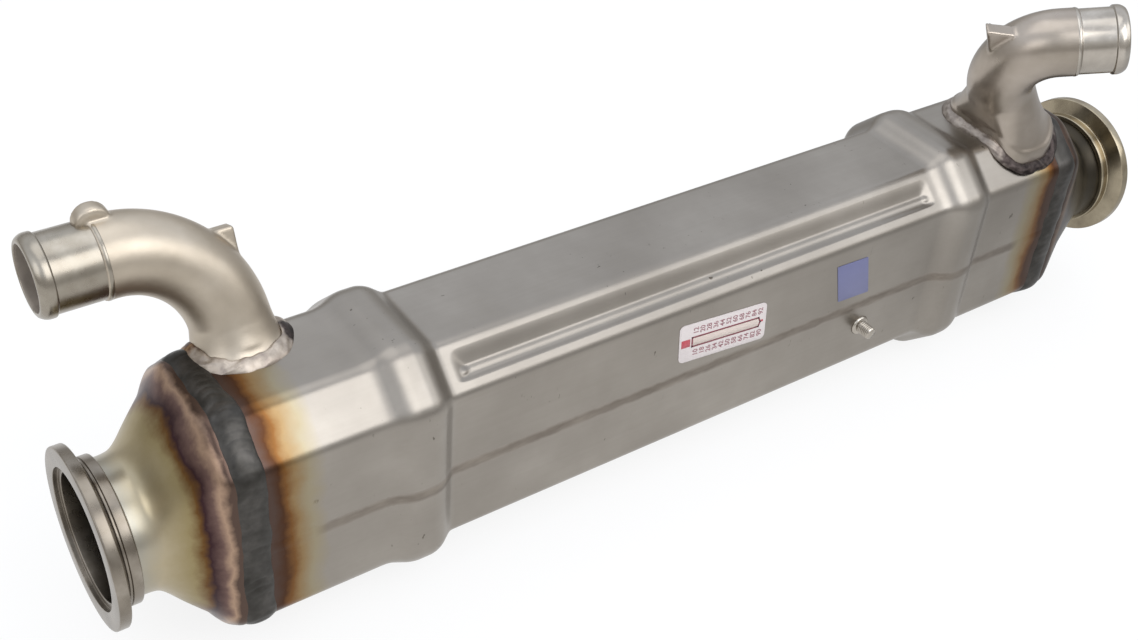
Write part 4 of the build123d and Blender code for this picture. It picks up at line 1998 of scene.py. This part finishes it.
@dataclass(frozen=True)
class Labels:
    """Gauge label and blue label on the jacket's front face.

    Attributes:
        face: Distance of the front face from the gas axis.
        gauge: Place of the gauge label.
        blue: Place of the blue label.
        film: Thickness of the film.
        film_slope: How far its top edge is drawn in.
        print_lift: Height of the print above the film.
        print_sunk: How deep the print starts in the film.
        print_slope: How far the print's top edge is drawn in.
        bar: Left end, right end and half height of the gauge's bar.
        bar_cut: Length of the slants at the bar's right end.
        bar_line: Width of the bar's outline.
        figure_size: Height of the figures.
        figure_start: Place of the first figures along the label.
        figure_pitch: Distance between neighbouring figures.
        row_offset: Distance of the rows of figures from the label's middle line.
    """

    face: float = Outline().half_width
    gauge: Label = Label(at=(346.6, 19.0), size=(63.0, 26.6), tilt=-5.4, lean=5.0, corner=3.5)
    blue: Label = Label(at=(444.4, 20.1), size=(24.5, 28.2), tilt=-2.2, lean=14.0, corner=0.9)
    film: float = 0.3
    film_slope: float = 0.12
    print_lift: float = 0.06
    print_sunk: float = 0.02
    print_slope: float = 0.02
    bar: Point = (-22.4, 27.2, 3.2)
    bar_cut: float = 1.3
    bar_line: float = 1.1
    figure_size: float = 4.8
    figure_start: float = -19.8
    figure_pitch: float = 4.68
    row_offset: float = 7.9

    def place(self, flat: Array, label: Label, lift: float) -> Array:
        """Carries label coordinates to the front face: its length falls by tilt, its sides by lean.

        Args:
            flat: Points (..., 2) about the label's middle.
            label: Label that they belong to.
            lift: Height above the front face.

        Returns:
            Points (..., 3).
        """
        tilt, lean = math.radians(label.tilt), math.radians(label.lean)
        x = label.at[0] + flat[..., 0] * math.cos(tilt) - flat[..., 1] * math.sin(lean)
        z = label.at[1] + flat[..., 0] * math.sin(tilt) + flat[..., 1] * math.cos(lean)
        y = -(self.face + lift) * np.ones_like(x)
        return np.stack([x, y, z], axis=-1)

    def sheet(self, ring: Array, label: Label, low: float, high: float, slope: float) -> Grid:
        """Thin sheet with a given outline, whose top edge is drawn in by slope.

        Args:
            ring: Outline (n, 2) about the label's middle.
            label: Label that it belongs to.
            low: Height of its underside above the front face.
            high: Height of its top.
            slope: How far the top edge is drawn in.

        Returns:
            A closed grid.
        """
        middle = ring.mean(axis=0)
        spread = np.linalg.norm(ring - middle, axis=1, keepdims=True)
        inner = ring - (ring - middle) / spread * slope
        levels = [(ring, low), (ring, high - (high - low) / 4), (inner, high)]
        rings = [self.place(flat, label, lift) for flat, lift in levels]
        return Grid(np.array(rings), closed_v=True, capped=True)

    def plate(self, label: Label) -> Grid:
        """Rounded film of a label's size.

        Args:
            label: The label.

        Returns:
            A closed grid.
        """
        angle = circle(48)
        direction = np.stack([np.cos(angle), np.sin(angle)], axis=1)
        straight = np.array(label.size) / 2 - label.corner
        ring = np.sign(direction) * straight + direction * label.corner
        return self.sheet(ring, label, 0.0, self.film, self.film_slope)

    def stroke(self, start: Pair, end: Pair, width: float) -> Grid:
        """Printed line on the gauge label.

        Args:
            start: Its first point about the label's middle.
            end: Its last point.
            width: Its width.

        Returns:
            A closed grid.
        """
        first, last = np.array(start), np.array(end)
        along = unit(last - first) * width / 2
        side = np.array([-along[1], along[0]])
        left, right = first - along, last + along
        ring = np.array([left - side, right - side, right + side, left + side])
        low, high = self.film - self.print_sunk, self.film + self.print_lift
        return self.sheet(ring, self.gauge, low, high, self.print_slope)

    def bar_lines(self) -> list[Grid]:
        """Outline of the gauge's bar, whose right end has two slanted corners.

        Returns:
            One grid for each side.
        """
        left, right, half = self.bar
        slant = right - self.bar_cut
        corners = [(left, -half), (slant, -half), (right, 0.0), (slant, half), (left, half)]
        return [self.stroke(corners[k - 1], corners[k], self.bar_line) for k in range(5)]

    def blocks(self) -> list[Grid]:
        """Filled block at the bar's left end and a dot at its right end."""
        return [self.stroke((-27.3, 0.0), (-26.5, 0.0), 5.4), self.stroke((28.4, 0.5), (28.5, 0.5), 1.6)]

    def figure(self, body: str, x: float, z: float) -> bpy.types.Mesh:
        """Flat mesh of one plain number that reads upwards, laid on the label's print.

        Args:
            body: The number.
            x: Its middle along the label.
            z: Its middle across the label.

        Returns:
            A mesh in metres.
        """
        curve = bpy.data.curves.new("figure", "FONT")
        curve.body, curve.size, curve.offset = body, self.figure_size * MM, 0.1 * MM
        curve.align_x, curve.align_y = "CENTER", "CENTER"
        text = place_object("figure", curve)
        bpy.context.view_layer.update()
        graph = bpy.context.evaluated_depsgraph_get()
        mesh = bpy.data.meshes.new_from_object(text.evaluated_get(graph))
        bpy.data.objects.remove(text)
        flat = np.zeros(len(mesh.vertices) * 3)
        mesh.vertices.foreach_get("co", flat)
        upright = flat.reshape(-1, 3)[:, 1::-1] * [-1, 1] / MM
        spot = self.place(upright + [x, z], self.gauge, self.film + self.print_lift)
        mesh.vertices.foreach_set("co", (spot * MM).reshape(-1))
        mesh.update()
        return mesh

    def figures(self, ink: Material) -> None:
        """Makes plain numbers in a row above and a row below the bar.

        Args:
            ink: Their finish.
        """
        for number in range(11):
            x = self.figure_start + number * self.figure_pitch
            for side, word, first in ((-1, "lower", 10), (1, "upper", 12)):
                mesh = self.figure(str(number * 8 + first), x, side * self.row_offset)
                riding(f"gauge_figure_{number + 1}_{word}", mesh, ink)

    def build(self) -> None:
        """Makes both films and the gauge label's print."""
        white = LabelFilm("white_label_film", "CBC2BF", "BFB6B3").material()
        blue = LabelFilm("blue_label_film", "646688", "5C5E7C").material()
        bar = Print("dark_red_print", "74303A", "8A444C").material()
        block = Print("red_print", "A63A44", "B8585F").material()
        fill = Print("beige_print", "C4B6AC", "D0BFB6").material()
        piece("gauge_film", [self.plate(self.gauge)], white, ("gauge_label",))
        piece("blue_film", [self.plate(self.blue)], blue, ("blue_label",))
        piece("gauge_bar", self.bar_lines(), bar)
        piece("gauge_block", self.blocks(), block)
        piece("gauge_bar_fill", [self.stroke((-18.9, 0.0), (23.1, 0.0), 5.6)], fill)
        self.figures(Print("pale_red_print", "8A5F64", "A47E81").material())


@dataclass(frozen=True)
class Lamp:
    """Square soft box aimed at the part's middle.

    Attributes:
        name: Its name.
        place: Where it stands, in millimetres.
        size: Its side in millimetres.
        power: Its power in watts.
    """

    name: str
    place: Point
    size: float
    power: float

    def build(self, target: Point) -> None:
        """Hangs the lamp.

        Args:
            target: Point that it is aimed at.
        """
        data = bpy.data.lights.new(self.name, "AREA")
        data.shape, data.size, data.energy = "SQUARE", self.size * MM, self.power
        obj = place_object(self.name, data)
        obj.location = np.array(self.place) * MM
        aim = unit(np.array(target) - np.array(self.place))
        obj.rotation_mode = "QUATERNION"
        obj.rotation_quaternion = Vector(aim).to_track_quat("-Z", "Y")


@dataclass(frozen=True)
class Studio:
    """Pale floor, soft lamps and the camera at the photograph's place.

    Attributes:
        floor_z: Height of the floor.
        floor_half: Half its side.
        camera: Place of the camera.
        forward: Direction in which it looks.
        right: Direction to its right.
        lens: Focal length of the camera.
        sensor_width: Width of the frame behind its lens.
        floor_glow: Share of white glow that camera and gloss see on the floor.
        far_dimming: How much darker metal mirrors the floor at the outlet end.
        dimmed: Stations in metres between which that comes in.
        middle: Point that the lamps are aimed at.
        sky: Grey of the surroundings in reflections, from the horizon up.
        sky_strength: Their brightness.
        lamps: The soft boxes.
    """

    floor_z: float = -71.8
    floor_half: float = 6000.0
    camera: Point = (-117.4, -510.2, 519.8)
    forward: Point = (0.48252, 0.62850, -0.61005)
    right: Point = (0.82191, -0.56562, 0.06736)
    lens: float = 47.17
    sensor_width: float = 36.0
    floor_glow: float = 0.85
    far_dimming: float = 0.52
    dimmed: Pair = (0.35, 0.9)
    middle: Point = (350.0, 0.0, 0.0)
    sky: Stops = ((0.0, "A09E9C"), (0.3, "C8C8C8"), (0.58, "EFF5FF"), (1.0, "E4E9F2"))
    sky_strength: float = 1.2
    lamps: tuple[Lamp, ...] = (
        Lamp("key", (520.0, -1050.0, 1150.0), 1000.0, 8.0),
        Lamp("strip", (1350.0, -800.0, 750.0), 700.0, 2.0),
        Lamp("fill", (-900.0, -500.0, 900.0), 700.0, 1.8),
        Lamp("top", (250.0, 250.0, 1500.0), 1100.0, 3.5),
    )

    def floor(self) -> None:
        """White floor that shows white to camera and gloss, and takes the object's shadow.

        In the metal's reflections it grows darker towards the outlet end.
        """
        ends = [-self.floor_half, self.floor_half]
        x, y = np.meshgrid(ends, ends, indexing="ij")
        sheet = Grid(np.stack([x, y, np.full_like(x, self.floor_z)], axis=-1))
        obj = place_object("floor", mesh_from_grids("floor", [sheet]))
        recipe = Recipe("white_floor", 0.0, 0.9)
        recipe.shader.inputs["Base Color"].default_value = srgb("F4F4F4")
        path = recipe.add("ShaderNodeLightPath").outputs
        mirrored = recipe.math("MAXIMUM", path["Is Glossy Ray"], path["Is Transmission Ray"])
        seen = recipe.math("MAXIMUM", path["Is Camera Ray"], mirrored)
        share = recipe.math("MULTIPLY", seen, self.floor_glow)
        start, end = self.dimmed
        settings = {"interpolation_type": "SMOOTHSTEP", "From Min": start, "From Max": end}
        far = recipe.add("ShaderNodeMapRange", settings, {"Value": recipe.coordinate(0)})
        most = recipe.math("MULTIPLY", mirrored, self.far_dimming)
        dimming = recipe.math("MULTIPLY", far.outputs[0], most)
        strength = recipe.math("SUBTRACT", 1.0, dimming)
        glow = recipe.add("ShaderNodeEmission", None, {"Strength": strength})
        links = {0: share, 1: recipe.shader.outputs[0], 2: glow.outputs[0]}
        mixed = recipe.add("ShaderNodeMixShader", None, links)
        output = recipe.tree.nodes["Material Output"]
        recipe.tree.links.new(mixed.outputs[0], output.inputs["Surface"])
        obj.data.materials.append(recipe.material)

    def world(self) -> None:
        """White surroundings that darken towards the horizon in reflections, so that metal has form."""
        world = bpy.data.worlds.new("studio")
        bpy.context.scene.world = world
        world.use_nodes = True
        tree = world.node_tree
        back = tree.nodes["Background"]
        coordinates = add_node(tree, "ShaderNodeTexCoord")
        split = add_node(tree, "ShaderNodeSeparateXYZ", None, {0: coordinates.outputs["Generated"]})
        ramp = add_node(tree, "ShaderNodeValToRGB", None, {0: split.outputs[2]})
        set_stops(ramp.color_ramp, self.sky)
        path = add_node(tree, "ShaderNodeLightPath")
        links = {0: path.outputs["Is Camera Ray"], 6: ramp.outputs[0]}
        mix = add_node(tree, "ShaderNodeMix", {"data_type": "RGBA", 7: srgb(WHITE)}, links)
        tree.links.new(mix.outputs[2], back.inputs[0])
        back.inputs[1].default_value = self.sky_strength

    def view(self) -> None:
        """Camera at the photograph's place and angle."""
        data = bpy.data.cameras.new("camera")
        data.lens, data.sensor_width = self.lens, self.sensor_width
        data.clip_start, data.clip_end = 0.01, 50.0
        obj = place_object("camera", data)
        right, forward = Vector(self.right), Vector(self.forward)
        up = right.cross(forward)
        turn = Matrix((right, up, -forward)).transposed().to_4x4()
        obj.matrix_world = Matrix.Translation(Vector(self.camera) * MM) @ turn
        bpy.context.scene.camera = obj

    def build(self) -> None:
        """Sets the stage."""
        bpy.context.scene.view_settings.view_transform = "Standard"
        self.floor()
        self.world()
        for lamp in self.lamps:
            lamp.build(self.middle)
        self.view()


def build_jacket() -> None:
    """Makes the shells with their seam beads."""
    jacket = Jacket()
    jacket.build(JacketSheet().material())
    SeamBeads(jacket).build(SeamMetal().material())


def build_gas_ends() -> None:
    """Makes ring welds, cones and clamp flanges."""
    weld, cone = RingWeldMetal().material(), ConeSheet().material()
    hot_tones = ((0.3, "776F64"), (0.6, "8B8378"), (0.8, "A0988D"))
    bronze_tones = ((0.3, "938875"), (0.6, "ACA18B"), (0.8, "C1B6A0"))
    hot = TurnedStainless("turned_stainless_hot_end", hot_tones).material()
    bronzed = TurnedStainless("turned_stainless_bronzed", bronze_tones, rough=0.12).material()
    RingWeld("inlet_ring_bead", "inlet_ring_weld", middle=66.0, seed=11, relief=0.3).build(weld)
    RingWeld("outlet_ring_bead", "outlet_ring_weld", middle=620.0, seed=23, relief=0.12).build(weld)
    Cone("inlet_bell", "inlet_cone", neck_x=15.3, lip_x=58.5, plate_x=62.0).build(cone)
    Cone("outlet_bell", "outlet_cone", neck_x=683.9, lip_x=627.5, plate_x=624.0).build(cone)
    Flange("inlet_clamp_flange", "inlet_flange", face_x=0.0, direction=1).build(hot)
    Flange("outlet_clamp_flange", "outlet_flange", face_x=699.2, direction=-1).build(bronzed)


def build_elbows(turned: Material) -> None:
    """Makes both coolant elbows with the welds round their feet.

    Args:
        turned: Finish of the outlet's spigot.
    """
    near_tones = ((0.3, "AEA393"), (0.55, "B9AE9E"), (0.8, "C4BAAB"))
    # The far elbow gets the same cast stainless in darker tones: painted shade.
    far_shade_tones = ((0.3, "9A9185"), (0.55, "A79D92"), (0.8, "B4AA9F"))
    # The near spigot's tones are the turned stainless darkened: painted shade.
    spigot_shaded_tones = ((0.3, "8B8377"), (0.6, "9D968A"), (0.8, "B0A99E"))
    near_weld_tones = ((0.3, "938880"), (0.5, "AA9F93"), (0.7, "BFB4A8"))
    # The far foot weld's tones are the near ones darkened: painted shade.
    far_weld_shaded_tones = ((0.3, "7A716A"), (0.5, "8D847C"), (0.7, "A39A91"))
    near_cast = CastStainless("blasted_cast_stainless", near_tones, rough=0.34).material()
    # Darker copy of the cast finish for the far elbow: painted shade.
    far_cast_shaded = CastStainless("blasted_cast_stainless_far_shaded", far_shade_tones, rough=0.24).material()
    # Darker copy of the turned finish for the near spigot: painted shade.
    near_spigot_shaded = TurnedStainless("turned_stainless_spigot_shaded", spigot_shaded_tones).material()
    near_weld = FootWeldMetal("pale_weld_metal", near_weld_tones).material()
    # Darker copy of the foot weld finish for the far elbow: painted shade.
    far_weld_shaded = FootWeldMetal("pale_weld_metal_far_shaded", far_weld_shaded_tones).material()
    bore = CastBore().material()
    INLET_ELBOW.build(near_cast, near_spigot_shaded, near_weld, bore)
    OUTLET_ELBOW.build(far_cast_shaded, turned, far_weld_shaded, bore)


def dress_core(frame: dict, core: Material) -> None:
    """Gives the solids that stay their finish.

    Args:
        core: Their finish.
    """
    for name, node in frame["nodes"].items():
        if node.hide_render:
            continue
        node.data.materials.clear()
        node.data.materials.append(core)
        LOG.info("%s dressed", name)


def main() -> None:
    """Builds the cooler and its stage."""
    logging.basicConfig(level=logging.INFO, format="%(message)s")
    for old in list(bpy.data.objects):
        bpy.data.objects.remove(old)
    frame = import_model()
    turned_tones = ((0.3, "A69F95"), (0.6, "B8B1A7"), (0.8, "C6C0B6"))
    turned = TurnedStainless("turned_stainless", turned_tones, rough=0.17).material()
    build_jacket()
    build_gas_ends()
    build_elbows(turned)
    Stud().build(turned)
    Labels().build()
    dress_core(frame, CoreSheet().material())
    Studio().build()


if __name__ == "__main__":
    main()
